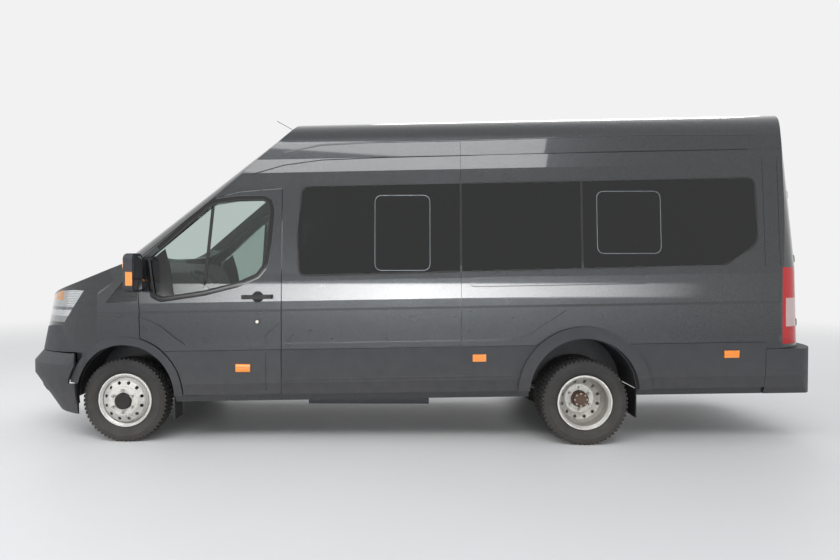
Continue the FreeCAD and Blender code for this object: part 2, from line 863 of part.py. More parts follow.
def rear_window_prism(inset):
    """Left rear window made solid along the vehicle."""
    low, high = rear_window_low + inset, rear_window_high - inset
    left, right = -rear_window_outer + inset, -rear_window_inner - inset
    rise = climb(rear_face_x)
    points = [Vector(0, left, low + rise), Vector(0, right, low + rise)]
    points += [Vector(0, right, high + rise), Vector(0, left, high + rise)]
    return along_x(rounded_face(points, [rear_window_corner - inset] * len(points)), wheelbase, 2 * far)


def rear_door_glass():
    """Glass of the left rear door, edge to edge in its opening."""
    layer = rear_prism(-door_glass_depth).cut(rear_prism(-door_glass_depth - glass_thickness))
    return one_solid(layer.common(rear_window_prism(glass_gap)))


def roof_panel():
    """Roof from the windscreen's head to the rear doors, down to the gutter."""
    return one_solid(shell.common(roof_space).cut(screen_space))


def tail_lamp_zone(gap):
    """Space of the left tail lamp at the rear corner, smaller by a gap."""
    low = above(tail_lamp_low + gap).common(below(tail_lamp_high - gap))
    return box((tail_lamp_front + gap, -far, -far), (2 * far, -lamp_inner_y - gap, far)).common(low)


def tail_lamps():
    """Both tail lamps, as deep as the wall that they sit in."""
    return both(one_solid(shell.common(tail_lamp_zone(glass_gap))))


def rear_bumper_hull(offset):
    """Outside of the rear bumper, moved in by the offset."""
    plan = grown(plan_face(rear_bumper_x, rear_bumper_plan_shares, -1), offset)
    return leaning_prism(plan, 0, 0, -far / 4, far).common(section_prism(cladding_proud + offset))


# Plastic cladding and flares
flare_proud = cladding_proud + 4.0
rear_flare_proud = (flare_width - body_width) / 2 + cladding_proud
cladding_rear = rear_bumper_start - shut_gap
marker_proud = 8.0
marker_height = 58.0
marker_low = 628.0
marker_spans = [(2847.0, 2954.0), (4847.0, 4964.0)]
handle_length = 240.0
handle_x = 993.0
handle_low = 1160.0
handle_height = 34.0
handle_reach = 42.0
handle_foot = 40.0


def flare(body, x, height, inner, outer, lowest):
    """Left arch flare: a ring round the arch that stands proud of the body."""
    centre = Vector(x, -far, height)
    ring = Part.makeCylinder(outer, far - cowl_half, centre, Vector(0, 1, 0))
    ring = ring.cut(Part.makeCylinder(inner, far, centre, Vector(0, 1, 0)))
    return body.common(ring.common(above(lowest)))


def cladding_left():
    """Left plastic trim: the front flare, the strip on the door, and the strip with the rear flare."""
    body = proud_body(flare_proud)
    front = flare(body, front_arch_x, front_arch_height, front_arch_radius, front_flare_radius, sill_seam)
    low_front = box((-nose_reach, -far, -far), (front_arch_x, far, bumper_split))
    front = one_solid(front.cut([hull, low_front, door_space]))
    strip = above(sill_seam).common(below(cladding_top - shut_gap)).common(left_half)
    layer = section_prism(cladding_proud).common(strip).cut(section_prism(0))
    wide = section_prism(rear_flare_proud)
    rear = flare(wide, rear_arch_x, rear_arch_centre_z, rear_arch_radius, rear_flare_radius, sill_seam)
    rear = rear.cut(section_prism(band_proud))
    side = layer.common(between_x(door_rear, cladding_rear)).cut(rear_arch)
    side = one_solid(side.fuse(rear))
    door_part = one_solid(layer.common(along_y(grown(door_face(), -panel_gap))))
    return front, side, door_part


def side_markers_left():
    """Amber lamps on the left cladding."""
    layer = section_prism(cladding_proud + marker_proud).cut(section_prism(cladding_proud)).common(left_half)
    strip = above(marker_low).common(below(marker_low + marker_height))
    layer = layer.common(strip)
    return [one_solid(layer.common(between_x(a, b))) for a, b in marker_spans]


def door_handle_left():
    """Pull handle of the left front door, standing on two feet."""
    band = above(handle_low).common(below(handle_low + handle_height))
    grip = section_prism(handle_reach).cut(section_prism(handle_reach / 2)).common(left_half).common(band)
    grip = grip.common(between_x(handle_x, handle_x + handle_length))
    legs = section_prism(handle_reach).cut(section_prism(0)).common(left_half).common(band)
    feet = [between_x(handle_x, handle_x + handle_foot)]
    feet.append(between_x(handle_x + handle_length - handle_foot, handle_x + handle_length))
    return one_solid(grip.fuse([legs.common(foot) for foot in feet]))


# Mirrors
mirror_x = 118.0
mirror_depth = 84.0
mirror_low = 1239.0
mirror_high = 1543.0
mirror_inner = 1052.0
mirror_corner = 48.0
mirror_arm_low = 1262.0
mirror_arm_high = 1330.0
mirror_arm_depth = 50.0
mirror_arm_x = 150.0
mirror_arm_root = 926.55


def mirror_left():
    """Left door mirror: a rounded housing on a short arm from the door's corner."""
    points = [Vector(0, -mirror_reach, mirror_low), Vector(0, -mirror_inner, mirror_low)]
    points += [Vector(0, -mirror_inner, mirror_high), Vector(0, -mirror_reach, mirror_high)]
    head = along_x(rounded_face(points, [mirror_corner] * len(points)), mirror_x, mirror_x + mirror_depth)
    front_edges = [e for e in head.Edges if abs(e.CenterOfMass.x - mirror_x) < skin / 2]
    head = head.makeFillet(mirror_depth / 3, front_edges)
    start = (mirror_arm_x, -mirror_inner - skin, mirror_arm_low)
    arm = box(start, (mirror_arm_x + mirror_arm_depth, -mirror_arm_root, mirror_arm_high))
    arm = arm.cut(section_prism(0))
    return one_solid(head.fuse(arm))


# Underbody
rail_half_gap = 400.0
rail_width = 70.0
rail_height = 130.0
rail_front = -760.0
rail_rear = 5440.0
cross_length = 60.0
cross_shares = [0.28, 0.50, 0.72, 0.90, 1.10, 1.26, 1.42]
beam_height = 110.0
engine_cross_x = -330.0
engine_cross_length = 80.0
engine_cross_depth = 50.0
rear_sill_front = 5480.0


def floor_pan():
    """Floor between the walls, open over the wheel housings, with the sill of the rear doors."""
    slab = above(floor_under).common(below(floor_top))
    slab = slab.common(box((firewall_x, -far, 0), (2 * far, far, far)))
    step = above(floor_under).common(below(rear_door_foot - panel_gap))
    step_half = rear_door_half - panel_gap
    step = step.common(box((rear_sill_front, -step_half, 0), (2 * far, step_half, far)))
    slab = slab.fuse(step).common(section_prism(-wall)).common(rear_prism(-wall - panel_gap))
    return one_solid(slab.cut([front_arch, rear_arch]))


def chassis_frame():
    """Two long rails under the floor with cross members, engine bearer and bumper brackets."""
    strip = above(floor_under - rail_height).common(below(floor_under))
    pieces = []
    bracket = above(floor_under - rail_height + cross_length / 2).common(below(floor_under - cross_length / 2))
    for low in (-rail_half_gap - rail_width, rail_half_gap):
        pieces.append(strip.common(box((rail_front, low, -far), (rail_rear, low + rail_width, far))))
        end = (rear_bumper_x, low + rail_width, far)
        stub = bracket.common(box((rail_rear - cross_length, low, -far), end))
        pieces.append(stub.common(rear_bumper_hull(-bumper_wall)))
        drop = box((engine_cross_x, low, engine_low - engine_cross_depth - seat_gap),
                   (engine_cross_x + engine_cross_length, low + rail_width, floor_under - rail_height))
        pieces.append(drop)
    cross = above(floor_under - rail_height / 2).common(below(floor_under))
    for share in cross_shares:
        x = share * wheelbase
        pieces.append(cross.common(box((x, -rail_half_gap, -far), (x + cross_length, rail_half_gap, far))))
    bearer_low = (engine_cross_x, -rail_half_gap, engine_low - engine_cross_depth - seat_gap)
    pieces.append(box(bearer_low, (engine_cross_x + engine_cross_length, rail_half_gap, engine_low - seat_gap)))
    beam = box((-nose_reach, -liner_inner_y, bumper_split),
               (rail_front + cross_length, liner_inner_y, bumper_split + beam_height))
    pieces.append(beam.common(bumper_hull(-bumper_wall - seat_gap)))
    return one_solid(pieces[0].fuse(pieces[1:]))


def housing_shell(x, height, radius, outer_y):
    """Left wheel housing: an arched liner closed by its inner plate."""
    radius = radius - seat_gap
    centre = Vector(x, -outer_y, height)
    span = outer_y - liner_inner_y
    outer = Part.makeCylinder(radius, span, centre, Vector(0, 1, 0))
    inner = Part.makeCylinder(radius - liner_thickness, span - liner_thickness, centre, Vector(0, 1, 0))
    return outer.cut(inner).common(above(sill_seam))


arm_opening = 190.0
arm_opening_top = 480.0


def wheel_housings():
    """The four wheel housings. The front ones are open where the suspension arms pass."""
    front = housing_shell(front_arch_x, front_arch_height, front_housing_radius, front_housing_y)
    centre = Vector(front_arch_x, -front_housing_y, front_arch_height)
    ring = Part.makeCylinder(
        front_housing_radius - liner_thickness / 2, liner_thickness, centre, Vector(0, 1, 0))
    ring = ring.cut(Part.makeCylinder(front_arch_radius + seat_gap, far, centre, Vector(0, 1, 0)))
    front = front.fuse(ring.common(above(sill_seam)))
    arms_low = (-arm_opening, -liner_inner_y - 2 * liner_thickness, 0)
    front = front.cut(box(arms_low, (arm_opening, 0, arm_opening_top)))
    rear = housing_shell(rear_arch_x, rear_arch_centre_z, rear_arch_radius, half_width - wall)
    solids = []
    for part in (one_solid(front), one_solid(rear)):
        solids += [part, mirrored(part)]
    return Part.makeCompound(solids)


flap_thickness = 8.0
front_flap_rear = 423.9
front_flap_inner = 800.0
front_flap_low = 190.0
rear_flap_rear = 4173.0
rear_flap_inner = 640.0
rear_flap_low = 215.0
flap_outer = 975.0


def mud_flaps():
    """Rubber flaps behind the four arches."""
    top = at_line(front_flap_rear, sill_seam).z - seat_gap
    start = (front_flap_rear - flap_thickness, -flap_outer, front_flap_low)
    front = box(start, (front_flap_rear, -front_flap_inner, top))
    top = at_line(rear_flap_rear, sill_seam).z - liner_thickness
    start = (rear_flap_rear - flap_thickness, -flap_outer, rear_flap_low)
    rear = box(start, (rear_flap_rear, -rear_flap_inner, top))
    return Part.makeCompound([front, mirrored(front), rear, mirrored(rear)])


# Engine, radiator, exhaust, tank and driveline
engine_low = 420.0
engine_high = 1000.0
engine_front = -640.0
engine_rear = 40.0
engine_half = 260.0
gearbox_low = 370.0
gearbox_high = 555.0
gearbox_length = 520.0
gearbox_half = 130.0
radiator_front = -745.0
radiator_thickness = 40.0
radiator_half = 370.0
radiator_height = 370.0
tank_front = 1500.0
tank_rear = 2500.0
tank_inner = 480.0
tank_outer = 860.0
tank_low = 290.0
tank_corner = 50.0
pipe_radius = 28.0
pipe_y = 250.0
pipe_height = 440.0
silencer_radius = 85.0
silencer_front = 2350.0
silencer_length = 620.0
shaft_radius = 38.0
shaft_set_back = 2.0
axle_radius = 55.0
differential_radius = 130.0
spindle_radius = 40.0
spring_y = 515.0
spring_width = 66.0
leaf_thickness = 14.0
leaf_step = 12.5
leaf_length_shares = [1.0, 0.68, 0.38]
spring_half_length = 620.0
spring_rise = 105.0
eye_radius = 24.0
hanger_height = 80.0


def engine_block():
    """Engine and gearbox as one plain block, on the bearer between the rails."""
    block = box((engine_front, -engine_half, engine_low), (engine_rear, engine_half, engine_high))
    gearbox_end = (engine_rear + gearbox_length, gearbox_half, gearbox_high)
    gearbox = box((engine_rear, -gearbox_half, gearbox_low), gearbox_end)
    return one_solid(block.fuse(gearbox))


def radiator():
    """Radiator behind the grille, standing on the bumper beam."""
    low = bumper_split + beam_height + seat_gap
    end = (radiator_front + radiator_thickness, radiator_half, low + radiator_height)
    return box((radiator_front, -radiator_half, low), end)


def fuel_tank():
    """Tank under the floor on the left, between the rail and the sill."""
    top = floor_under + climb(tank_front) - seat_gap
    points = [Vector(0, -tank_outer, tank_low), Vector(0, -tank_inner, tank_low)]
    points += [Vector(0, -tank_inner, top), Vector(0, -tank_outer, top)]
    return along_x(rounded_face(points, [tank_corner] * len(points)), tank_front, tank_rear)


def exhaust_line():
    """Exhaust pipe with its silencer, from the engine to the rear bumper."""
    start = engine_rear + seat_gap
    length = rear_bumper_start - start
    pipe = Part.makeCylinder(pipe_radius, length, Vector(start, pipe_y, pipe_height), Vector(1, 0, 0))
    front = Vector(silencer_front, pipe_y, pipe_height)
    silencer = Part.makeCylinder(silencer_radius, silencer_length, front, Vector(1, 0, 0))
    return one_solid(pipe.fuse(silencer))


def turned(points):
    """Section in distance along Y and radius, turned round the Y axis."""
    outline = [Vector(0, -w, r) for w, r in points]
    return polygon_face(outline).revolve(Vector(0, 0, 0), Vector(0, 1, 0), full_turn)


def at_wheel(shape, x, y):
    """The shape moved from the origin to a wheel's centre."""
    moved = shape.copy()
    moved.translate(Vector(x, y, wheel_height))
    return moved


twin_inner_y = (twin_track - twin_spacing) / 2
twin_outer_y = twin_inner_y + twin_spacing
twin_middle_y = twin_track / 2
front_wheel_y = front_track / 2
contact = disc_offset - disc_metal
hub_flange = 12.0
hub_flange_radius = 105.0
hub_spigot_radius = 66.0
rear_spigot_reach = 52.0
spigot_chamfer = 8.0


differential_shares = [(-1.0, 0.0), (-1.0, 0.50), (-0.55, 1.0), (0.55, 1.0), (1.0, 0.50), (1.0, 0.0)]


def rear_axle():
    """Axle tube with its differential and spindles, and the shaft from the gearbox."""
    spindle_end = twin_middle_y - seat_gap
    shoulder = twin_inner_y - rim_width / 4
    along = Vector(0, 1, 0)
    start = Vector(wheelbase, -spindle_end, wheel_height)
    spindle = Part.makeCylinder(spindle_radius, 2 * spindle_end, start, along)
    start = Vector(wheelbase, -shoulder, wheel_height)
    tube = Part.makeCylinder(axle_radius, 2 * shoulder, start, along)
    casing = turned([(a * differential_radius, b * differential_radius) for a, b in differential_shares])
    axle = one_solid(tube.fuse([spindle, at_wheel(casing, wheelbase, 0)]))
    start = Vector(engine_rear + gearbox_length + shaft_set_back, 0, (gearbox_low + gearbox_high) / 2)
    end = Vector(wheelbase - differential_radius - seat_gap, 0, wheel_height)
    shaft = Part.makeCylinder(shaft_radius, (end - start).Length, start, end - start)
    return Part.makeCompound([axle, shaft])


def leaf_spring():
    """Left leaf spring on the axle, hung from the rail at both eyes."""
    seat = wheel_height + axle_radius + seat_gap
    low = -spring_y - spring_width / 2
    leaves = []
    for i, share in enumerate(reversed(leaf_length_shares)):
        reach = share * spring_half_length
        lower = []
        for x in (-reach, -reach / 2, 0, reach / 2, reach):
            rise = spring_rise * (x / spring_half_length) ** 2
            lower.append(Vector(wheelbase + x, 0, seat + i * leaf_step + rise))
        upper = [Vector(p.x, 0, p.z + leaf_thickness) for p in lower]
        edges = [curve(lower), Part.makeLine(lower[-1], upper[-1])]
        edges += [curve(upper[::-1]), Part.makeLine(upper[0], lower[0])]
        leaves.append(along_y(face_of(edges), low, low + spring_width))
    eye_z = seat + spring_rise + len(leaf_length_shares) * leaf_step
    for x in (wheelbase - spring_half_length, wheelbase + spring_half_length):
        leaves.append(Part.makeCylinder(eye_radius, spring_width, Vector(x, low, eye_z), Vector(0, 1, 0)))
        end = (x + leaf_thickness, -rail_half_gap - rail_width - seat_gap, eye_z + hanger_height)
        leaves.append(box((x - leaf_thickness, low, eye_z), end))
    return one_solid(leaves[0].fuse(leaves[1:]))


# Front suspension and steering knuckles
kingpin_y = 790.0
kingpin_radius = 14.0
post_radius = 32.0
post_half = 90.0
arm_thickness = 16.0
arm_eye_radius = 30.0
lower_arm_half = 160.0
upper_arm_half = 80.0
beam_thickness = 40.0
tower_half = 60.0
stub_radius = 30.0
stub_reach = 70.0
brake_radius = 140.0
brake_inner = -21.0
brake_outer = -1.0
hub_inner = -36.0
hub_barrel_radius = 55.0
running_gap = 6.0
caliper_front = 92.0
caliper_rear = 155.0
caliper_half = 40.0
steering_arm_length = 115.0
steering_arm_height = 18.0


def arm(half_base, low):
    """Left suspension arm: a triangle from the rail line to the eye round the kingpin."""
    inner = -rail_half_gap - rail_width
    points = [Vector(-half_base, inner, low), Vector(half_base, inner, low)]
    points += [Vector(arm_eye_radius, -kingpin_y, low), Vector(-arm_eye_radius, -kingpin_y, low)]
    plate = polygon_face(points).extrude(Vector(0, 0, arm_thickness))
    eye = Part.makeCylinder(arm_eye_radius, arm_thickness, Vector(0, -kingpin_y, low))
    start = Vector(0, -kingpin_y, low - arm_thickness / 2)
    hole = Part.makeCylinder(kingpin_radius + seat_gap, 2 * arm_thickness, start)
    return plate.fuse(eye).cut(hole)


def front_suspension():
    """Cross beam with a tower under each rail, and two arms to each kingpin."""
    lower = wheel_height - post_half - arm_thickness - seat_gap
    upper = wheel_height + post_half + seat_gap
    rail_y = rail_half_gap + rail_width
    rail_low = floor_under - rail_height + climb(-lower_arm_half)
    pieces = [box((-lower_arm_half, -rail_y, lower), (lower_arm_half, rail_y, lower + beam_thickness))]
    for y in (-rail_y, rail_half_gap):
        pieces.append(box((-tower_half, y, lower), (tower_half, y + rail_width, rail_low - seat_gap)))
    for low, half_base in ((lower, lower_arm_half), (upper, upper_arm_half)):
        side = arm(half_base, low)
        pieces += [side, mirrored(side)]
    return one_solid(pieces[0].fuse(pieces[1:]))


def knuckle_left():
    """Left steering knuckle: post on its kingpin, stub axle, caliper and steering arm."""
    low = wheel_height - post_half
    post = Part.makeCylinder(post_radius, 2 * post_half, Vector(0, -kingpin_y, low))
    pin_start = Vector(0, -kingpin_y, low - arm_thickness)
    pin = Part.makeCylinder(kingpin_radius, 2 * (post_half + arm_thickness), pin_start)
    stub_start = Vector(0, -front_wheel_y - stub_reach, wheel_height)
    stub_length = front_wheel_y + stub_reach - kingpin_y
    stub = Part.makeCylinder(stub_radius, stub_length, stub_start, Vector(0, 1, 0))
    caliper = box((caliper_front, -front_wheel_y - brake_outer - caliper_half, wheel_height - caliper_half),
                  (caliper_rear, -front_wheel_y - brake_inner + caliper_half, wheel_height + caliper_half))
    slot_inner = brake_inner - running_gap
    slot_outer = brake_outer + running_gap
    slot_radius = brake_radius + running_gap
    slot = turned([(slot_inner, 0), (slot_outer, 0), (slot_outer, slot_radius), (slot_inner, slot_radius)])
    caliper = caliper.cut(at_wheel(slot, 0, -front_wheel_y))
    carrier_outer = -front_wheel_y - hub_inner + running_gap
    carrier_inner = -kingpin_y + post_radius / 2
    carrier_end = (caliper_front + running_gap, carrier_inner, wheel_height + stub_radius)
    carrier = box((0, carrier_outer, wheel_height - stub_radius), carrier_end)
    steering_end = (steering_arm_length, -kingpin_y + post_radius, low + 2 * steering_arm_height)
    steering = box((0, carrier_inner, low + steering_arm_height), steering_end)
    return one_solid(post.fuse([pin, stub, caliper, carrier, steering]))


# Wheels: shares of the rim's half width, or of the disc's offset, and of the flange radius
rim_section_shares = [
    (1.0, 1.0), (0.924, 1.0), (0.924, 0.925), (-0.924, 0.925), (-0.924, 1.0), (-1.0, 1.0), (-1.0, 0.968),
    (-0.81, 0.873), (0.81, 0.873), (1.0, 0.968),
]
disc_section_shares = [(0.33, 0.895), (0.57, 0.845), (0.80, 0.758), (1.0, 0.555)]
tyre_section_shares = [
    (0.735, 0.598), (0.735, 0.648), (1.0, 0.80), (0.80, 1.0),
]
nut_radius = 15.0
nut_height = 16.0
nut_sides = 6


def wheel_rim():
    """Left wheel rim about the origin: barrel, dished disc, hand holes and stud holes."""
    half = rim_width / 2
    barrel = turned([(a * half, b * rim_flange_radius) for a, b in rim_section_shares])
    outer = [(a * disc_offset, b * rim_flange_radius) for a, b in disc_section_shares]
    outer.append((disc_offset, centre_bore_radius))
    inner = [(w - disc_metal, r) for w, r in reversed(outer)]
    disc = turned(outer + inner)
    holes = []
    for i in range(rim_holes):
        holes.append(across_hole(rim_hole_circle, rim_hole_radius, math.pi * (2 * i + 1) / rim_holes))
    for i in range(stud_count):
        holes.append(across_hole(stud_circle / 2, stud_hole_radius, 2 * math.pi * i / stud_count))
    return one_solid(barrel.fuse(disc.cut(holes)))


def across_hole(circle, radius, angle):
    """Cylinder along Y on a circle about the wheel's axis."""
    start = Vector(circle * math.sin(angle), -2 * disc_offset, circle * math.cos(angle))
    return Part.makeCylinder(radius, 4 * disc_offset, start, Vector(0, 1, 0))


def tyre():
    """Tyre about the origin, closed inside by the rim."""
    half = tyre_width / 2
    outer = [(a * half, b * tyre_radius) for a, b in tyre_section_shares]
    return turned(outer + [(-w, r) for w, r in reversed(outer)])


def studs(face, length):
    """Six studs with their nuts that stand on the outer face of the wheel discs."""
    pieces = []
    for i in range(stud_count):
        angle = 2 * math.pi * i / stud_count
        x = stud_circle / 2 * math.sin(angle)
        z = stud_circle / 2 * math.cos(angle)
        start = Vector(x, -face - length, z)
        pieces.append(Part.makeCylinder(stud_radius, 2 * length, start, Vector(0, 1, 0)))
        ring = []
        for k in range(nut_sides):
            turn = 2 * math.pi * k / nut_sides
            corner_x = x + nut_radius * math.sin(turn)
            ring.append(Vector(corner_x, -face - seat_gap, z + nut_radius * math.cos(turn)))
        pieces.append(polygon_face(ring).extrude(Vector(0, -nut_height, 0)))
    return pieces


def front_hub():
    """Rotating front hub about the wheel's centre: bearing bore, brake disc, flange, cap and studs."""
    face = contact - seat_gap
    bore = stub_radius + seat_gap
    cap = disc_offset + nut_height
    end = cap + spigot_chamfer
    points = [(hub_inner, bore), (hub_inner, hub_barrel_radius), (brake_inner, hub_barrel_radius)]
    points += [(brake_inner, brake_radius), (brake_outer, brake_radius), (brake_outer, hub_barrel_radius)]
    points += [(face - hub_flange, hub_barrel_radius), (face - hub_flange, hub_flange_radius)]
    points += [(face, hub_flange_radius), (face, hub_spigot_radius), (cap, hub_spigot_radius)]
    points += [(end, hub_spigot_radius - spigot_chamfer), (end, 0)]
    points += [(stub_reach + seat_gap, 0), (stub_reach + seat_gap, bore)]
    return one_solid(turned(points).fuse(studs(disc_offset, front_stud_length)))


drum_radius = 160.0
drum_width = 90.0


def rear_hub():
    """Rotating rear hub about the plane between the twin wheels: drum, flange, spigot and studs."""
    face = -disc_metal - seat_gap
    bore = spindle_radius + seat_gap
    reach = disc_metal + rear_spigot_reach
    start = face - hub_flange - drum_width
    points = [(start, bore), (start, drum_radius), (face - hub_flange, drum_radius)]
    points += [(face - hub_flange, hub_flange_radius), (face, hub_flange_radius), (face, hub_spigot_radius)]
    end = reach + spigot_chamfer
    points += [(reach, hub_spigot_radius), (end, hub_spigot_radius - spigot_chamfer), (end, 0)]
    points += [(seat_gap, 0), (seat_gap, bore)]
    outer_face = disc_metal + seat_gap
    return one_solid(turned(points).fuse(studs(outer_face, stud_length)))


def wheels_left():
    """Left wheels: rims with their hubs, and tyres, front and rear."""
    rim = wheel_rim()
    reversed_rim = mirrored(rim)
    front = [at_wheel(shape, 0, -front_wheel_y) for shape in (rim, front_hub())]
    rear = [at_wheel(rim, wheelbase, -twin_inner_y), at_wheel(reversed_rim, wheelbase, -twin_outer_y)]
    rear.append(at_wheel(rear_hub(), wheelbase, -twin_middle_y))
    rubber = tyre()
    front_tyre = at_wheel(rubber, 0, -front_wheel_y)
    rear_tyres = [at_wheel(rubber, wheelbase, -y) for y in (twin_inner_y, twin_outer_y)]
    return Part.makeCompound(front), front_tyre, Part.makeCompound(rear), Part.makeCompound(rear_tyres)


# Cab interior
dash_half = 855.0
dash_depth = 250.0
dash_height = 1480.0
dash_section_shares = [
    (0.0, 0.5811), (0.0, 1.0), (0.48, 0.9932), (0.84, 0.9392), (1.0, 0.8716), (0.96, 0.7568), (0.96, 0.6419),
    (0.64, 0.5811),
]
steering_x = 560.0
steering_y = -430.0
steering_z = 1290.0
steering_tilt = 35.0
steering_ring_radius = 200.0
steering_grip_radius = 15.0
grip_sides = 8
steering_boss_radius = 50.0
steering_boss_height = 40.0
steering_dish = 45.0
spoke_count = 3
spoke_start = 35.0
spoke_width = 34.0
spoke_thickness = 16.0
column_radius = 32.0
column_length = 420.0
column_pin_radius = 12.0


def dashboard():
    """Dashboard across the cab against the firewall, with the steering column."""
    front = firewall_x + seat_gap
    points = [Vector(front + a * dash_depth, 0, b * dash_height) for a, b in dash_section_shares]
    body = along_y(polygon_face(points), -dash_half, dash_half).common(section_prism(-wall - panel_gap))
    body = body.common(room)
    top = Vector(0, 0, -steering_dish - seat_gap)
    pin = Part.makeCylinder(column_pin_radius, steering_boss_height / 2, top)
    column = Part.makeCylinder(column_radius, column_length, top - Vector(0, 0, column_length))
    return one_solid(body.fuse([at_steering(pin), at_steering(column)]))


def at_steering(shape):
    """The shape moved from the origin to the steering wheel, turned to the column's tilt."""
    moved = shape.copy()
    moved.rotate(Vector(0, 0, 0), Vector(0, 1, 0), steering_tilt)
    moved.translate(Vector(steering_x, steering_y, steering_z))
    return moved


def steering_ring():
    """Ring of the steering wheel, about the origin in the plane Z = 0."""
    points = []
    for i in range(grip_sides):
        angle = 2 * math.pi * i / grip_sides
        out = steering_ring_radius + steering_grip_radius * math.cos(angle)
        points.append(Vector(out, 0, steering_grip_radius * math.sin(angle)))
    return polygon_face(points).revolve(Vector(0, 0, 0), Vector(0, 0, 1), full_turn)


def steering_wheel():
    """Steering wheel: ring, three spokes and a dished boss on the column's pin."""
    ring = steering_ring()
    foot = Vector(0, 0, -steering_dish)
    boss = Part.makeCylinder(steering_boss_radius, steering_boss_height, foot)
    hole = Part.makeCylinder(column_pin_radius + seat_gap, steering_boss_height / 2 + seat_gap, foot)
    pieces = [boss]
    for i in range(spoke_count):
        start = Vector(spoke_start, 0, -steering_dish + spoke_thickness)
        end = Vector(steering_ring_radius, 0, 0)
        points = [start, end, end + Vector(0, 0, spoke_thickness / 2), start + Vector(0, 0, spoke_thickness)]
        spoke = along_y(polygon_face(points), -spoke_width / 2, spoke_width / 2)
        spoke.rotate(Vector(0, 0, 0), Vector(0, 0, 1), full_turn * i / spoke_count)
        pieces.append(spoke)
    return at_steering(one_solid(ring.fuse(pieces).cut(hole)))


# Seats: front x of each row with the y of its seats
seat_width = 420.0
cushion_length = 440.0
cushion_height = 110.0
cushion_top = 430.0
back_thickness = 90.0
back_height = 760.0
back_lean = 12.0
pad_corner = 30.0
pad_front_corner = 39.0
frame_plate = 24.0
frame_length = 540.0
leg_width = 36.0
leg_length = 320.0
pair_y = [-690.0, -260.0]
single_y = [635.0]
last_row_y = [-645.0, -215.0, 215.0, 645.0]
seat_rows = [
    (690.0, [-490.0]), (690.0, [275.0, 705.0]),
    (1650.0, pair_y), (2400.0, pair_y), (3150.0, pair_y), (3900.0, pair_y),
    (2450.0, single_y), (3150.0, single_y), (3900.0, single_y),
    (4650.0, last_row_y),
]


def seat_cushion(x, y):
    """One seat cushion."""
    top = floor_top + climb(x) + cushion_top
    points = [Vector(x, 0, top - cushion_height), Vector(x, 0, top)]
    points += [Vector(x + cushion_length, 0, top), Vector(x + cushion_length, 0, top - cushion_height)]
    face = rounded_face(points, [pad_corner, pad_front_corner, pad_corner / 2, pad_corner / 2])
    return along_y(face, y - seat_width / 2, y + seat_width / 2)


def seat_back(x, y):
    """One seat back with its head rest, leaning to the rear."""
    low = floor_top + climb(x) + cushion_top - cushion_height
    start = x + cushion_length + seat_gap
    points = [Vector(start, 0, low), Vector(start, 0, low + back_height)]
    points += [Vector(start + back_thickness, 0, low + back_height), Vector(start + back_thickness, 0, low)]
    face = rounded_face(points, [0, pad_corner, pad_corner, 0])
    back = along_y(face, y - seat_width / 2, y + seat_width / 2)
    back.rotate(Vector(start, 0, low), Vector(0, 1, 0), back_lean)
    return back


def seat_frame(x, ys):
    """Frame of one group of seats: plate under the cushions and backs, and two legs on the floor."""
    low = floor_top + climb(x) + cushion_top - cushion_height - seat_gap
    foot_drop = back_thickness * math.sin(math.radians(back_lean))
    left = ys[0] - seat_width / 2
    right = ys[-1] + seat_width / 2
    plate = box((x, left, low - frame_plate), (x + cushion_length, right, low))
    spine_low = (x + cushion_length, left, low - frame_plate - foot_drop)
    spine = box(spine_low, (x + frame_length, right, low - foot_drop))
    pieces = [spine]
    outside = liner_inner_y - leg_width
    for y in (max(left + leg_width, -outside), min(right - leg_width, outside)):
        start = x + (cushion_length - leg_length) / 2
        leg = box((start, y - leg_width / 2, 0), (start + leg_length, y + leg_width / 2, low - frame_plate / 2))
        pieces.append(leg.common(above(floor_top + seat_gap)))
    return one_solid(plate.fuse(pieces))


def seats():
    """Frames, cushions and backs of all the seats."""
    frames = [seat_frame(x, ys) for x, ys in seat_rows]
    cushions = [seat_cushion(x, y) for x, ys in seat_rows for y in ys]
    backs = [seat_back(x, y) for x, ys in seat_rows for y in ys]
    return Part.makeCompound(frames), Part.makeCompound(cushions), Part.makeCompound(backs)


# Right side
def sliding_zone(gap):
    """Space of the sliding door in the right wall, smaller by a gap."""
    low = above(sill_seam + gap).common(below(sliding_head - gap))
    return low.common(box((sliding_front + gap, 0, 0), (sliding_rear - gap, far, far)))


def export(shapes):
    """Writes each node after moving it to the middle of the vehicle's length."""
    os.makedirs("parts", exist_ok=True)
    shift = (front_overhang - wheelbase - rear_overhang) / 2
    for name, shape in shapes.items():
        placed = shape.copy()
        placed.translate(Vector(shift, 0, 0))
        placed.exportStep("parts/" + name + ".step")
        box_now = placed.BoundBox
        print(name, len(placed.Solids), placed.isValid(), round(placed.Volume),
              round(box_now.XLength), round(box_now.YLength), round(box_now.ZLength))


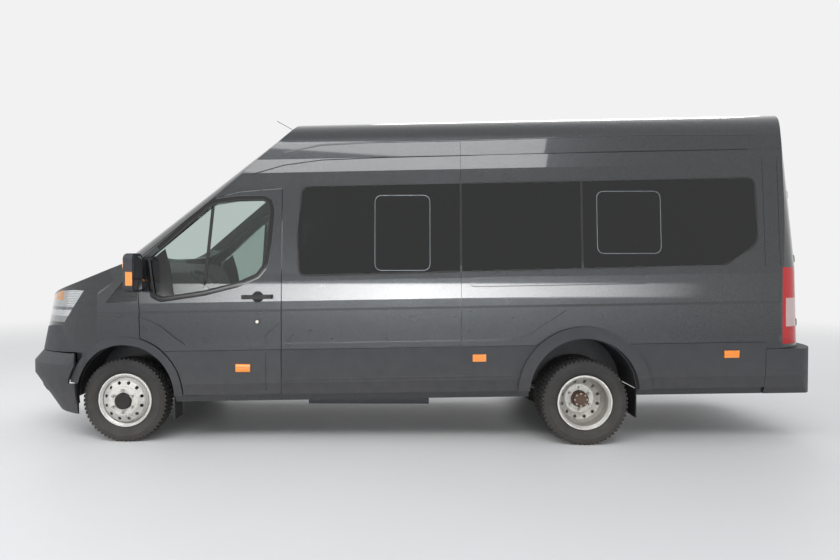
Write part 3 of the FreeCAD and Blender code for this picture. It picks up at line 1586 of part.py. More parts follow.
def build():
    """All nodes by name."""
    wall_left = side_wall_left()
    wall_right = mirrored(wall_left)
    panes = Part.makeCompound(side_glass_left())
    flare_front, cladding_side, cladding_door = cladding_left()
    sliding_cladding = mirrored(cladding_side)
    seams = [box((x, 0, 0), (x + panel_gap, far, far)) for x in (sliding_front, sliding_rear - panel_gap)]
    cladding = [flare_front, mirrored(flare_front), cladding_side] + sliding_cladding.cut(seams).Solids
    markers = side_markers_left()
    seat_frames, seat_cushions, seat_backs = seats()
    front_rim, front_tyre, rear_rims, rear_tyres = wheels_left()
    shapes = {
        "floor_pan": floor_pan(),
        "wheel_housings": wheel_housings(),
        "chassis_frame": chassis_frame(),
        "cab_frame": cab_frame(),
        "side_wall_left": wall_left,
        "side_wall_right": one_solid(wall_right.cut(sliding_zone(0))),
        "sliding_door": one_solid(wall_right.common(sliding_zone(panel_gap))),
        "roof_panel": roof_panel(),
        "front_wings": front_wings(),
        "front_bumper": front_bumper(),
        "rear_bumper": rear_bumper(),
        "radiator_grille": radiator_grille(),
        "headlamps": headlamps(),
        "tail_lamps": tail_lamps(),
        "windscreen": windscreen(),
        "side_glass_left": panes,
        "side_glass_right": mirrored(panes),
        "side_cladding": Part.makeCompound(cladding),
        "side_markers": Part.makeCompound(markers + [mirrored(marker) for marker in markers]),
        "mud_flaps": mud_flaps(),
        "dashboard": dashboard(),
        "seat_frames": seat_frames,
        "seat_cushions": seat_cushions,
        "seat_backs": seat_backs,
        "engine_block": engine_block(),
        "radiator": radiator(),
        "exhaust_line": exhaust_line(),
        "fuel_tank": fuel_tank(),
        "driveline": rear_axle(),
        "leaf_springs": both(leaf_spring()),
        "front_suspension": front_suspension(),
        "bonnet": bonnet(),
        "steering_wheel": steering_wheel(),
    }
    left_pieces = {
        "front_door": front_door_shell(),
        "front_door_glass": front_door_glass(),
        "front_door_trim": Part.makeCompound([cladding_door, door_handle_left()]),
        "mirror": mirror_left(),
        "rear_door": rear_door_shell(),
        "rear_door_glass": rear_door_glass(),
        "knuckle": knuckle_left(),
        "front_rim": front_rim,
        "front_tyre": front_tyre,
        "rear_rims": rear_rims,
        "rear_tyres": rear_tyres,
    }
    for name, shape in left_pieces.items():
        shapes[name + "_left"] = shape
        shapes[name + "_right"] = mirrored(shape)
    return shapes


export(build())
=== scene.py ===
"""Looks of a high roofed minibus: finishes, tyres, trim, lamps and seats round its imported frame."""

import logging
import math
from dataclasses import dataclass
from enum import Enum
from typing import Any, Callable, Optional, Sequence

import bmesh
import bpy
from mathutils import Matrix, Vector
from mathutils.bvhtree import BVHTree


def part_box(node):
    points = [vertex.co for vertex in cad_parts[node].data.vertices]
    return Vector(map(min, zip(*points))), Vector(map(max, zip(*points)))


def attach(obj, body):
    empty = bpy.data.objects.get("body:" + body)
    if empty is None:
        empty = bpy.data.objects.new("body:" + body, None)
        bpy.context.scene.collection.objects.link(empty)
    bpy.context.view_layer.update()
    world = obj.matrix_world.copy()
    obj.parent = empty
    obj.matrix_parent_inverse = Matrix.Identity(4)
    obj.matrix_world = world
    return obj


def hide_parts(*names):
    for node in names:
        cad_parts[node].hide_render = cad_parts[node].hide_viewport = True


log = logging.getLogger("minibus")
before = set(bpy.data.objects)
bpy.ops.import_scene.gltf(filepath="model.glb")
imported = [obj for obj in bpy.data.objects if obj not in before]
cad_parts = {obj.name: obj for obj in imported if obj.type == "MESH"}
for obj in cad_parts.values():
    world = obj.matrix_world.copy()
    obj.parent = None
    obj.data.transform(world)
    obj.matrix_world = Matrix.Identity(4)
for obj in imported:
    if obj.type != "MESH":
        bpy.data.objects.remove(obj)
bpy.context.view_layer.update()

# Places are in millimetres: X to the rear from the front axle, Y to the right, Z up from the ground.
MM = 0.001
AXLE_TO_MIDDLE = 2329.0
WHEELBASE = 3750.0
CLIMB = 62.0 / WHEELBASE
# An X behind everything, for a band along the whole vehicle.
EVERYWHERE = 1e5
WHEEL_RADIUS = 342.0
FRONT_WHEEL_Y = 866.0
TWIN_INNER_Y = 711.1
TWIN_OUTER_Y = 930.8

# Scale of a wave whose period is one millimetre.
WAVE_SCALE = 314.0

# The photograph's frame, and the camera fitted to it.
PHOTO_WIDTH = 840
PHOTO_HEIGHT = 560
FOCAL_PIXELS = 625.3
CENTRE_PIXEL = (402.0, 285.0)
SENSOR = 36.0
EYE = (2357.0, -6032.0, 1404.0)
YAW, PITCH, ROLL = 0.87, -1.30, 0.07

Point = tuple[float, float]


class Side(Enum):
    """Side of the vehicle, as the driver names it."""

    LEFT = -1
    RIGHT = 1

    @property
    def word(self) -> str:
        """Name as the frame's nodes write it."""
        return self.name.lower()


def place(x: float, y: float, z: float) -> Vector:
    """Point in the frame's metres from a place in millimetres."""
    return Vector(((x - AXLE_TO_MIDDLE) * MM, y * MM, z * MM))


def climbed(x: float, height: float) -> float:
    """Height at x of a line along the body that starts at this height over the front axle."""
    return height + x * CLIMB


def linear(code: str) -> tuple[float, float, float, float]:
    """Linear colour from an sRGB hex code."""
    parts = [int(code[i:i + 2], 16) / 255 for i in (0, 2, 4)]
    red, green, blue = [p / 12.92 if p <= 0.04045 else ((p + 0.055) / 1.055) ** 2.4 for p in parts]
    return red, green, blue, 1.0


def add(tree: bpy.types.NodeTree, kind: str, inputs: Optional[dict[Any, Any]] = None,
        **settings: Any) -> bpy.types.Node:
    """Adds a node with its settings and links.

    Args:
        tree: the tree that gets the node.
        kind: the node's type.
        inputs: values, or sockets to link, by the input's name or number.
        settings: attributes of the node.

    Returns:
        The node.
    """
    made = tree.nodes.new(kind)
    for name, value in settings.items():
        setattr(made, name, value)
    for name, value in (inputs or {}).items():
        if isinstance(value, bpy.types.NodeSocket):
            tree.links.new(value, made.inputs[name])
        else:
            made.inputs[name].default_value = value
    return made


def number(tree: bpy.types.NodeTree, operation: str, *values: Any) -> bpy.types.NodeSocket:
    """Result of an operation on numbers or sockets."""
    return add(tree, "ShaderNodeMath", dict(enumerate(values)), operation=operation).outputs[0]


def blend(tree: bpy.types.NodeTree, share: Any, low: Any, high: Any) -> bpy.types.NodeSocket:
    """Colour between two others, by a share."""
    return add(tree, "ShaderNodeMix", {0: share, 6: low, 7: high}, data_type="RGBA").outputs[2]


def linked(name: str, data: Any) -> bpy.types.Object:
    """Object with this data, in the scene."""
    made = bpy.data.objects.new(name, data)
    bpy.context.scene.collection.objects.link(made)
    return made


@dataclass(frozen=True)
class Finish:
    """Solid finish with patches of a second tone, an uneven gloss, a grain and road dust low down."""

    name: str
    tone: str
    second_tone: str
    patch_mm: float = 120.0
    roughness: float = 0.5
    rough_spread: float = 0.1
    metallic: float = 0.0
    grain_mm: float = 0.0
    grain_depth_mm: float = 0.1
    coat: float = 0.0
    coat_roughness: float = 0.05
    dust: float = 0.0
    dust_tone: str = "6b655c"
    dust_top_mm: float = 900.0
    glow: float = 0.0
    # Tones from a height up, each only ahead of its X.
    bands: tuple[tuple[float, str, float], ...] = ()

    def make(self) -> bpy.types.Material:
        """Builds the material.

        Returns:
            The material, named for its finish.
        """
        material = bpy.data.materials.new(self.name)
        material.use_nodes = True
        tree = material.node_tree
        shader = tree.nodes["Principled BSDF"]
        where = add(tree, "ShaderNodeTexCoord").outputs["Object"]
        shader.inputs["Metallic"].default_value = self.metallic
        if self.coat:
            shader.inputs["Coat Weight"].default_value = self.coat
            shader.inputs["Coat Roughness"].default_value = self.coat_roughness
        if self.glow:
            shader.inputs["Emission Color"].default_value = linear(self.tone)
            shader.inputs["Emission Strength"].default_value = self.glow
        colour = self.colour(tree, where)
        tree.links.new(self.dusted(tree, where, colour), shader.inputs["Base Color"])
        self.gloss(tree, where, shader)
        self.grain(tree, where, shader)
        return material

    def colour(self, tree: bpy.types.NodeTree, where: bpy.types.NodeSocket) -> bpy.types.NodeSocket:
        """Patches of the two tones."""
        patches = add(tree, "ShaderNodeTexNoise", {"Vector": where, "Scale": 1000 / self.patch_mm, "Detail": 4.0})
        mixed = blend(tree, patches.outputs["Fac"], linear(self.tone), linear(self.second_tone))
        return self.banded(tree, where, mixed)

    def banded(self, tree: bpy.types.NodeTree, where: bpy.types.NodeSocket,
               colour: bpy.types.NodeSocket) -> bpy.types.NodeSocket:
        """Bands from the lowest up, each with its own tone.

        Args:
            tree: the material's tree.
            where: coordinates on the vehicle.
            colour: the tone below all bands.

        Returns:
            The colour with its bands.
        """
        if not self.bands:
            return colour
        spot = add(tree, "ShaderNodeSeparateXYZ", {0: where})
        for low, tone, rear in self.bands:
            above = number(tree, "GREATER_THAN", spot.outputs[2], low * MM)
            limit = (rear - AXLE_TO_MIDDLE) * MM
            ahead = number(tree, "LESS_THAN", spot.outputs[0], limit)
            share = number(tree, "MULTIPLY", above, ahead)
            colour = blend(tree, share, colour, linear(tone))
        return colour

    def dusted(self, tree: bpy.types.NodeTree, where: bpy.types.NodeSocket,
               colour: bpy.types.NodeSocket) -> bpy.types.NodeSocket:
        """Road dust that thins out with height.

        Args:
            tree: the material's tree.
            where: coordinates on the vehicle.
            colour: the clean colour.

        Returns:
            The colour with its dust.
        """
        if not self.dust:
            return colour
        height = add(tree, "ShaderNodeSeparateXYZ", {0: where}).outputs[2]
        low = add(tree, "ShaderNodeMapRange", {0: height, 1: self.dust_top_mm * MM, 2: 0.0, 3: 0.0, 4: self.dust})
        cloud = add(tree, "ShaderNodeTexNoise", {"Vector": where, "Scale": 14.0, "Detail": 7.0, "Roughness": 0.65})
        share = add(tree, "ShaderNodeMath", {0: low.outputs[0], 1: cloud.outputs["Fac"]}, operation="MULTIPLY",
                    use_clamp=True)
        return blend(tree, share.outputs[0], colour, linear(self.dust_tone))

    def gloss(self, tree: bpy.types.NodeTree, where: bpy.types.NodeSocket, shader: bpy.types.Node) -> None:
        """Gloss that changes a little from place to place."""
        wear = add(tree, "ShaderNodeTexNoise", {"Vector": where, "Scale": 9.0, "Detail": 5.0})
        low, high = self.roughness - self.rough_spread / 2, self.roughness + self.rough_spread / 2
        spread = add(tree, "ShaderNodeMapRange", {0: wear.outputs["Fac"], 1: 0.3, 2: 0.7, 3: low, 4: high})
        tree.links.new(spread.outputs[0], shader.inputs["Roughness"])

    def grain(self, tree: bpy.types.NodeTree, where: bpy.types.NodeSocket, shader: bpy.types.Node) -> None:
        """Fine relief of the surface."""
        if not self.grain_mm:
            return
        rough = add(tree, "ShaderNodeTexNoise", {"Vector": where, "Scale": 1000 / self.grain_mm, "Detail": 3.0})
        bump = add(tree, "ShaderNodeBump", {"Height": rough.outputs["Fac"], "Distance": self.grain_depth_mm * MM,
                                            "Strength": 1.0})
        tree.links.new(bump.outputs[0], shader.inputs["Normal"])


@dataclass(frozen=True)
class Paint(Finish):
    """Metallic base coat with flakes under a clear coat."""

    flake_mm: float = 1.5
    flake_tone: str = "8d9096"

    def colour(self, tree: bpy.types.NodeTree, where: bpy.types.NodeSocket) -> bpy.types.NodeSocket:
        """Base tone with the sparkle of its flakes."""
        base = super().colour(tree, where)
        flakes = add(tree, "ShaderNodeTexVoronoi", {"Vector": where, "Scale": 1000 / self.flake_mm})
        spark = add(tree, "ShaderNodeSeparateColor", {0: flakes.outputs["Color"]}).outputs[0]
        share = add(tree, "ShaderNodeMapRange", {0: spark, 1: 0.6, 2: 1.0, 3: 0.0, 4: 0.22}).outputs[0]
        return blend(tree, share, base, linear(self.flake_tone))


@dataclass(frozen=True)
class Glass(Finish):
    """Float glass, tinted in the body."""

    clearness: float = 1.0

    def make(self) -> bpy.types.Material:
        """Builds the material with light going through."""
        material = super().make()
        shader = material.node_tree.nodes["Principled BSDF"]
        shader.inputs["Transmission Weight"].default_value = self.clearness
        shader.inputs["IOR"].default_value = 1.5
        return material


@dataclass(frozen=True)
class Cloth(Finish):
    """Woven seat cloth: crossed threads and a soft sheen."""

    thread_mm: float = 3.0

    def grain(self, tree: bpy.types.NodeTree, where: bpy.types.NodeSocket, shader: bpy.types.Node) -> None:
        """Crossed waves stand for warp and weft, drawn coarse enough to show."""
        waves = []
        for axis in ("X", "Y", "Z"):
            settings = {"Vector": where, "Scale": WAVE_SCALE / self.thread_mm, "Distortion": 0.4}
            wave = add(tree, "ShaderNodeTexWave", settings, bands_direction=axis)
            waves.append(wave.outputs["Fac"])
        cross = add(tree, "ShaderNodeMath", {0: waves[0], 1: waves[1]}, operation="ADD")
        total = add(tree, "ShaderNodeMath", {0: cross.outputs[0], 1: waves[2]}, operation="ADD")
        bump = add(tree, "ShaderNodeBump", {"Height": total.outputs[0], "Distance": 0.25 * MM})
        tree.links.new(bump.outputs[0], shader.inputs["Normal"])
        shader.inputs["Sheen Weight"].default_value = 0.35


@dataclass(frozen=True)
class WheelSteel(Finish):
    """Silver lacquer on pressed steel, with what sits round the hub in its own tones."""

    axle_x: float = 0.0
    hub_tone: str = "1b1a19"
    hub_radius: float = 69.0
    disc_tone: str = "d2d1cc"
    disc_radius: float = 117.0
    stain_tone: str = "6a6056"

    def colour(self, tree: bpy.types.NodeTree, where: bpy.types.NodeSocket) -> bpy.types.NodeSocket:
        """Tones by distance from the wheel's axis."""
        base = super().colour(tree, where)
        flat = add(tree, "ShaderNodeVectorMath", {0: where, 1: (1.0, 0.0, 1.0)}, operation="MULTIPLY")
        centre = place(self.axle_x, 0.0, WHEEL_RADIUS)
        away = add(tree, "ShaderNodeVectorMath", {0: flat.outputs[0], 1: (centre.x, 0.0, centre.z)},
                   operation="DISTANCE").outputs["Value"]
        cloud = add(tree, "ShaderNodeTexNoise", {"Vector": where, "Scale": 60.0, "Detail": 6.0}).outputs["Fac"]
        stain = add(tree, "ShaderNodeMapRange", {0: cloud, 1: 0.55, 2: 0.75, 3: 0.0, 4: 0.5}).outputs[0]
        disc = number(tree, "LESS_THAN", away, self.disc_radius * MM)
        base = blend(tree, disc, base, linear(self.disc_tone))
        soiled = blend(tree, stain, base, linear(self.stain_tone))
        inner = number(tree, "LESS_THAN", away, self.hub_radius * MM)
        return blend(tree, inner, soiled, linear(self.hub_tone))


@dataclass(frozen=True)
class Lens(Finish):
    """Moulded lens over fluted reflectors."""

    flute_mm: float = 14.0

    def grain(self, tree: bpy.types.NodeTree, where: bpy.types.NodeSocket, shader: bpy.types.Node) -> None:
        """Upright flutes behind the lens."""
        settings = {"Vector": where, "Scale": WAVE_SCALE / self.flute_mm}
        wave = add(tree, "ShaderNodeTexWave", settings, bands_direction="Z")
        bump = add(tree, "ShaderNodeBump", {"Height": wave.outputs["Fac"], "Distance": 1.2 * MM})
        tree.links.new(bump.outputs[0], shader.inputs["Normal"])


class Finishes:
    """Every finish of the vehicle, made once."""

    def __init__(self) -> None:
        """Builds all materials."""
        # Dark grey metallic enamel: deep tone, bright flakes and a glassy clear coat.
        self.enamel = Paint("metallic_enamel", "26292b", "212426", 900.0, 0.3, 0.06, 0.7, coat=1.0,
                            coat_roughness=0.03, dust=0.25).make()
        # Grained polypropylene: dull grey black with a fine cast texture, chalky low down.
        self.polypropylene = Finish("grained_polypropylene", "26282c", "2c2e33", 250.0, 0.62, 0.12, grain_mm=2.0,
                                    grain_depth_mm=0.12, dust=0.45).make()
        # The doors' trim: the same polypropylene, and black above for the pull handle.
        self.door_trim = Finish("door_trim_polypropylene", "26282c", "2c2e33", 250.0, 0.55, 0.12, grain_mm=2.0,
                                grain_depth_mm=0.1, dust=0.45, bands=((1050.0, "0f0f10", EVERYWHERE),)).make()
        # Gloss black acrylic: pillar and frame trims.
        self.acrylic = Finish("gloss_black_acrylic", "101012", "141416", 300.0, 0.16, 0.05).make()
        # Cured rubber seal: soft black with a slight bloom.
        self.seal = Finish("cured_rubber_seal", "141414", "1b1b1b", 90.0, 0.68, 0.1, grain_mm=1.5,
                           grain_depth_mm=0.05).make()
        # Tyre rubber: grey black tread and dusty shoulders.
        self.tyre = Finish("tyre_rubber", "1f1f20", "2a2a2a", 60.0, 0.8, 0.12, grain_mm=1.2, grain_depth_mm=0.12,
                           dust=0.7, dust_tone="5c564e", dust_top_mm=700.0).make()
        # Privacy glass: very dark, mirror smooth.
        self.privacy = Glass("privacy_glass", "1e2224", "1e2224", 900.0, 0.02, 0.0, clearness=0.9).make()
        # Green tinted screen glass: nearly clear.
        self.screen = Glass("tinted_screen_glass", "b9c7c2", "b9c7c2", 900.0, 0.015, 0.0).make()
        # Steel wheels: silver lacquer, scuffed and stained; the front has a black cap, the rear a rusty hub.
        self.front_wheel = WheelSteel("front_wheel_lacquer", "cbcac6", "b2b0ab", 60.0, 0.36, 0.15, 0.35,
                                      grain_mm=3.0, grain_depth_mm=0.06, dust=0.2).make()
        self.rear_wheel = WheelSteel("rear_wheel_lacquer", "bab8b2", "9d9a93", 60.0, 0.42, 0.15, 0.35, grain_mm=3.0,
                                     grain_depth_mm=0.08, dust=0.35, axle_x=WHEELBASE, hub_tone="4e3729").make()
        # Rolled rim edge, rubbed bright.
        self.lip = Finish("rubbed_rim_edge", "dad9d6", "c9c7c2", 30.0, 0.25, 0.1, 0.5).make()
        # Zinc plated nuts and bolts: bright, a little yellow.
        self.zinc = Finish("zinc_plate", "c3c1b8", "a5a196", 12.0, 0.3, 0.15, 0.95).make()
        # Chassis wax over black paint: satin, filmed with dust.
        self.wax = Finish("black_chassis_wax", "1c1b1a", "272522", 120.0, 0.55, 0.25, grain_mm=6.0, dust=0.6).make()
        # Cast iron: dark with a brown bloom.
        self.iron = Finish("cast_iron", "3a342f", "2a2725", 50.0, 0.7, 0.2, 0.5, grain_mm=4.0, grain_depth_mm=0.4,
                           dust=0.3).make()
        # Aluminium fins: dull pale grey.
        self.aluminium = Finish("rolled_aluminium", "8f9192", "7d8082", 60.0, 0.42, 0.15, 0.9, grain_mm=2.5).make()
        # Stainless exhaust pipe: straw tinted by heat.
        self.stainless = Finish("heat_tinted_stainless", "8d8376", "6a6259", 90.0, 0.38, 0.2, 0.95, dust=0.4).make()
        # Interior polypropylene: charcoal, soft grain.
        self.cabin_plastic = Finish("charcoal_polypropylene", "35373a", "303235", 200.0, 0.6, 0.1,
                                    grain_mm=2.5).make()
        # Seat cloth: dark blue grey weave.
        self.cloth = Cloth("woven_seat_cloth", "34383f", "2b2f36", 35.0, 0.85, 0.08).make()
        # Polycarbonate lamp lenses over metallised bowls.
        self.headlamp = Lens("headlamp_lens", "151617", "1c1d1f", 60.0, 0.08, 0.05, 0.4, coat=1.0,
                             bands=((985.0, "77797b", EVERYWHERE), (1035.0, "a2a4a5", EVERYWHERE),
                                    (1085.0, "55585a", EVERYWHERE), (1110.0, "929495", EVERYWHERE),
                                    (1165.0, "b47a3e", -530.0))).make()
        self.tail_lamp = Lens("tail_lamp_lens", "a00009", "8a0007", 60.0, 0.18, 0.05, flute_mm=9.0, glow=0.2,
                              bands=((955.0, "a8a09e", EVERYWHERE), (900.0, "a00009", 5352.0),
                                     (1183.0, "a00009", EVERYWHERE))).make()
        self.amber = Lens("amber_lens", "e8871a", "d97a12", 30.0, 0.12, 0.05, coat=1.0, flute_mm=5.0,
                          glow=0.15).make()
        # Round reflector low on the rear corner: brownish red.
        self.reflector = Lens("brown_red_reflector", "5c2a22", "4b231d", 20.0, 0.15, 0.05, coat=1.0,
                              flute_mm=4.0).make()
        # Anodised aluminium edge of the sliding vents: thin and dull.
        self.vent_edge = Finish("anodised_vent_edge", "6f7478", "666b6f", 80.0, 0.35, 0.1, 0.6).make()
        # Chromed reflector and mirror glass.
        self.chrome = Finish("bright_chrome", "d4d6d8", "c2c4c6", 200.0, 0.05, 0.03, 1.0).make()


def smooth(piece: bpy.types.Object, angle: float = 32.0) -> bpy.types.Object:
    """Smooth shading, with edges sharper than the angle kept."""
    for polygon in piece.data.polygons:
        polygon.use_smooth = True
    piece.data.set_sharp_from_angle(angle=math.radians(angle))
    return piece


def mesh_object(name: str, points: Sequence[Vector], faces: Sequence[Sequence[int]],
                material: bpy.types.Material) -> bpy.types.Object:
    """Object at the origin with outward faces.

    Args:
        name: the piece's name.
        points: its corners in metres.
        faces: corner numbers of each face.
        material: its finish.

    Returns:
        The object.
    """
    mesh = bpy.data.meshes.new(name)
    mesh.from_pydata([tuple(p) for p in points], [], [tuple(f) for f in faces])
    shape = bmesh.new()
    shape.from_mesh(mesh)
    bmesh.ops.remove_doubles(shape, verts=shape.verts, dist=1e-6)
    bmesh.ops.recalc_face_normals(shape, faces=shape.faces)
    shape.to_mesh(mesh)
    shape.free()
    mesh.materials.append(material)
    return smooth(linked(name, mesh))


def joined(name: str, pieces: Sequence[bpy.types.Object]) -> bpy.types.Object:
    """One object from several, with each face's finish kept."""
    points: list[Vector] = []
    faces: list[list[int]] = []
    finishes: list[bpy.types.Material] = []
    picks: list[int] = []
    for piece in pieces:
        base = len(points)
        points += [piece.matrix_world @ v.co for v in piece.data.vertices]
        for polygon in piece.data.polygons:
            faces.append([base + i for i in polygon.vertices])
            finish = piece.data.materials[polygon.material_index]
            if finish not in finishes:
                finishes.append(finish)
            picks.append(finishes.index(finish))
    mesh = bpy.data.meshes.new(name)
    mesh.from_pydata([tuple(p) for p in points], [], faces)
    for finish in finishes:
        mesh.materials.append(finish)
    for polygon, pick in zip(mesh.polygons, picks):
        polygon.material_index = pick
    for piece in pieces:
        bpy.data.objects.remove(piece)
    return smooth(linked(name, mesh))


class Skin:
    """Outside of some nodes, found by straight looks at it."""

    reach = 4.0

    def __init__(self, names: Sequence[str]) -> None:
        """Gathers the nodes' faces."""
        points: list[Vector] = []
        faces: list[list[int]] = []
        for name in names:
            base = len(points)
            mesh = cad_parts[name].data
            points += [v.co.copy() for v in mesh.vertices]
            faces += [[base + i for i in p.vertices] for p in mesh.polygons]
        self.tree = BVHTree.FromPolygons(points, faces)

    def look(self, start: Vector, way: Vector) -> tuple[Vector, Vector]:
        """First point met along a line, or else the nearest point.

        Args:
            start: where the look starts.
            way: its direction.

        Returns:
            The point and the outward normal there.
        """
        spot, normal, _, _ = self.tree.ray_cast(start, way)
        if spot is None:
            spot, normal, _, _ = self.tree.find_nearest(start + way * self.reach)
        if normal.dot(way) > 0:
            normal = -normal
        return spot, normal

    def side(self, x: float, z: float, side: Side) -> tuple[Vector, Vector]:
        """Point and normal on one side of the body."""
        start = place(x, 0, z) + Vector((0, side.value * self.reach, 0))
        return self.look(start, Vector((0, -side.value, 0)))

    def side_of(self, side: Side) -> Callable[[float, float], tuple[Vector, Vector]]:
        """Looks at one side, for a plate."""
        return lambda x, z: self.side(x, z, side)

    def strip(self, name: str, side: Side, line: Sequence[Point], section: Sequence[Point],
              material: bpy.types.Material, step: float = 60.0, closed: bool = False) -> bpy.types.Object:
        """Section carried along a line on one side of the body.

        Args:
            name: the piece's name.
            side: the side that is looked at.
            line: the line's points in X and height, in millimetres.
            section: corners in millimetres, across the line and out of the surface.
            material: its finish.
            step: longest distance between two looks, in millimetres.
            closed: True where the line ends at its start.

        Returns:
            The piece.
        """
        spots = [self.side(x, z, side) for x, z in fine(line, step, closed)]
        return sweep(name, spots, section, material, closed)

    def front(self, y: float, z: float) -> tuple[Vector, Vector]:
        """Point and normal seen from ahead."""
        return self.look(Vector((-2 * self.reach, y * MM, z * MM)), Vector((1, 0, 0)))

    def rear(self, y: float, z: float) -> tuple[Vector, Vector]:
        """Point and normal seen from behind."""
        return self.look(Vector((2 * self.reach, y * MM, z * MM)), Vector((-1, 0, 0)))

    def top(self, x: float, y: float) -> tuple[Vector, Vector]:
        """Point and normal seen from above."""
        start = place(x, y, 0) + Vector((0, 0, self.reach))
        return self.look(start, Vector((0, 0, -1)))


def sweep(name: str, spots: Sequence[tuple[Vector, Vector]], section: Sequence[Point],
          material: bpy.types.Material, closed: bool = False) -> bpy.types.Object:
    """Section carried along a line on a surface.

    Args:
        name: the piece's name.
        spots: points and surface normals along the line.
        section: corners in millimetres, across the line and out of the surface.
        material: its finish.
        closed: True where the line ends at its start.

    Returns:
        The piece.
    """
    count = len(spots)
    size = len(section)
    points: list[Vector] = []
    for i, (spot, normal) in enumerate(spots):
        after = spots[(i + 1) % count][0] if closed or i + 1 < count else spot
        before = spots[i - 1][0] if closed or i else spot
        along = (after - before).normalized()
        across = normal.cross(along).normalized()
        out = along.cross(across)
        points += [spot + across * a * MM + out * b * MM for a, b in section]
    faces: list[list[int]] = []
    for i in range(count if closed else count - 1):
        here, there = i * size, (i + 1) % count * size
        faces += [[here + k, here + (k + 1) % size, there + (k + 1) % size, there + k] for k in range(size)]
    if not closed:
        faces += [list(range(size)), list(range((count - 1) * size, count * size))]
    return mesh_object(name, points, faces, material)


def plate(name: str, look: Callable[[float, float], tuple[Vector, Vector]], first: Sequence[Point],
          second: Sequence[Point], height: float, material: bpy.types.Material, steps: int = 8,
          depth: float = 2.0) -> bpy.types.Object:
    """Thin plate that follows a surface between two lines.

    Args:
        name: the piece's name.
        look: point and normal of the surface at two coordinates.
        first: one edge of the plate, in millimetres.
        second: the other edge, with as many points.
        height: how far the plate stands out, in millimetres.
        material: its finish.
        steps: parts from one edge to the other.
        depth: how far it goes in, in millimetres.

    Returns:
        The plate.
    """
    rows = [[(a[0] + (b[0] - a[0]) * k / steps, a[1] + (b[1] - a[1]) * k / steps) for k in range(steps + 1)]
            for a, b in zip(first, second)]
    spots = [look(*point) for row in rows for point in row]
    points = [s + n * height * MM for s, n in spots] + [s - n * depth * MM for s, n in spots]
    wide, half = steps + 1, len(spots)
    faces: list[list[int]] = []
    for j in range(len(rows) - 1):
        for k in range(steps):
            quad = [j * wide + k, j * wide + k + 1, (j + 1) * wide + k + 1, (j + 1) * wide + k]
            faces += [quad, [half + i for i in quad]]
    last = (len(rows) - 1) * wide
    rim = list(range(wide)) + [j * wide + steps for j in range(1, len(rows))]
    rim += [last + k for k in range(steps - 1, -1, -1)] + [j * wide for j in range(len(rows) - 2, 0, -1)]
    faces += [[a, b, half + b, half + a] for a, b in zip(rim, rim[1:] + rim[:1])]
    return mesh_object(name, points, faces, material)


def disc(name: str, spot: Vector, normal: Vector, radius: float, low: float, high: float,
         material: bpy.types.Material) -> bpy.types.Object:
    """Round boss on a surface, from one height over it to another."""
    aside = normal.cross(Vector((0, 0, 1))).normalized()
    ends = [(spot + normal * low * MM, aside), (spot + normal * high * MM, aside)]
    return sweep(name, ends, round_bead(radius, 32), material)


def flat_bead(width: float, height: float, sunk: float = 1.5) -> list[Point]:
    """Section of a low bead with eased shoulders."""
    half = width / 2
    return [(-half, -sunk), (half, -sunk), (half, height * 0.5), (half * 0.6, height), (-half * 0.6, height),
            (-half, height * 0.5)]


def round_bead(radius: float, sides: int = 10, lift: float = 0.0) -> list[Point]:
    """Round section."""
    turns = [2 * math.pi * k / sides for k in range(sides)]
    return [(radius * math.cos(t), lift + radius * math.sin(t)) for t in turns]


def fine(points: Sequence[Point], step: float = 40.0, closed: bool = False) -> list[Point]:
    """Points along straight runs, no more than a step apart."""
    ring = list(points) + ([points[0]] if closed else [])
    out: list[Point] = []
    for a, b in zip(ring, ring[1:]):
        parts = max(1, math.ceil(math.dist(a, b) / step))
        out += [(a[0] + (b[0] - a[0]) * k / parts, a[1] + (b[1] - a[1]) * k / parts) for k in range(parts)]
    return out if closed else out + [ring[-1]]


def rounded(points: Sequence[Point], radii: Sequence[float], steps: int = 6) -> list[Point]:
    """Outline with its corners rounded."""
    out: list[Point] = []
    count = len(points)
    for i, (corner, radius) in enumerate(zip(points, radii)):
        here = Vector(corner)
        before = (Vector(points[i - 1]) - here).normalized()
        after = (Vector(points[(i + 1) % count]) - here).normalized()
        half = before.angle(after) / 2
        reach = radius / math.tan(half) if radius else 0.0
        start, end = here + before * reach, here + after * reach
        for k in range(steps + 1 if radius else 1):
            t = k / steps
            spot = start * (1 - t) ** 2 + here * 2 * t * (1 - t) + end * t ** 2
            out.append((spot.x, spot.y))
    return out


def revolve(profile: Sequence[Point], centre: Vector, steps: int) -> tuple[list[Vector], list[list[int]]]:
    """Corners and faces of a closed profile turned about an axle.

    Args:
        profile: distance along Y and radius, in millimetres.
        centre: the wheel's centre.
        steps: parts of the turn.

    Returns:
        Points and faces.
    """
    size = len(profile)
    points = []
    for i in range(steps):
        angle = 2 * math.pi * i / steps
        turn = Vector((math.sin(angle), 0, math.cos(angle)))
        points += [centre + Vector((0, w * MM, 0)) + turn * r * MM for w, r in profile]
    faces = []
    for i in range(steps):
        here, there = i * size, (i + 1) % steps * size
        faces += [[here + k, there + k, there + (k + 1) % size, here + (k + 1) % size] for k in range(size)]
    return points, faces


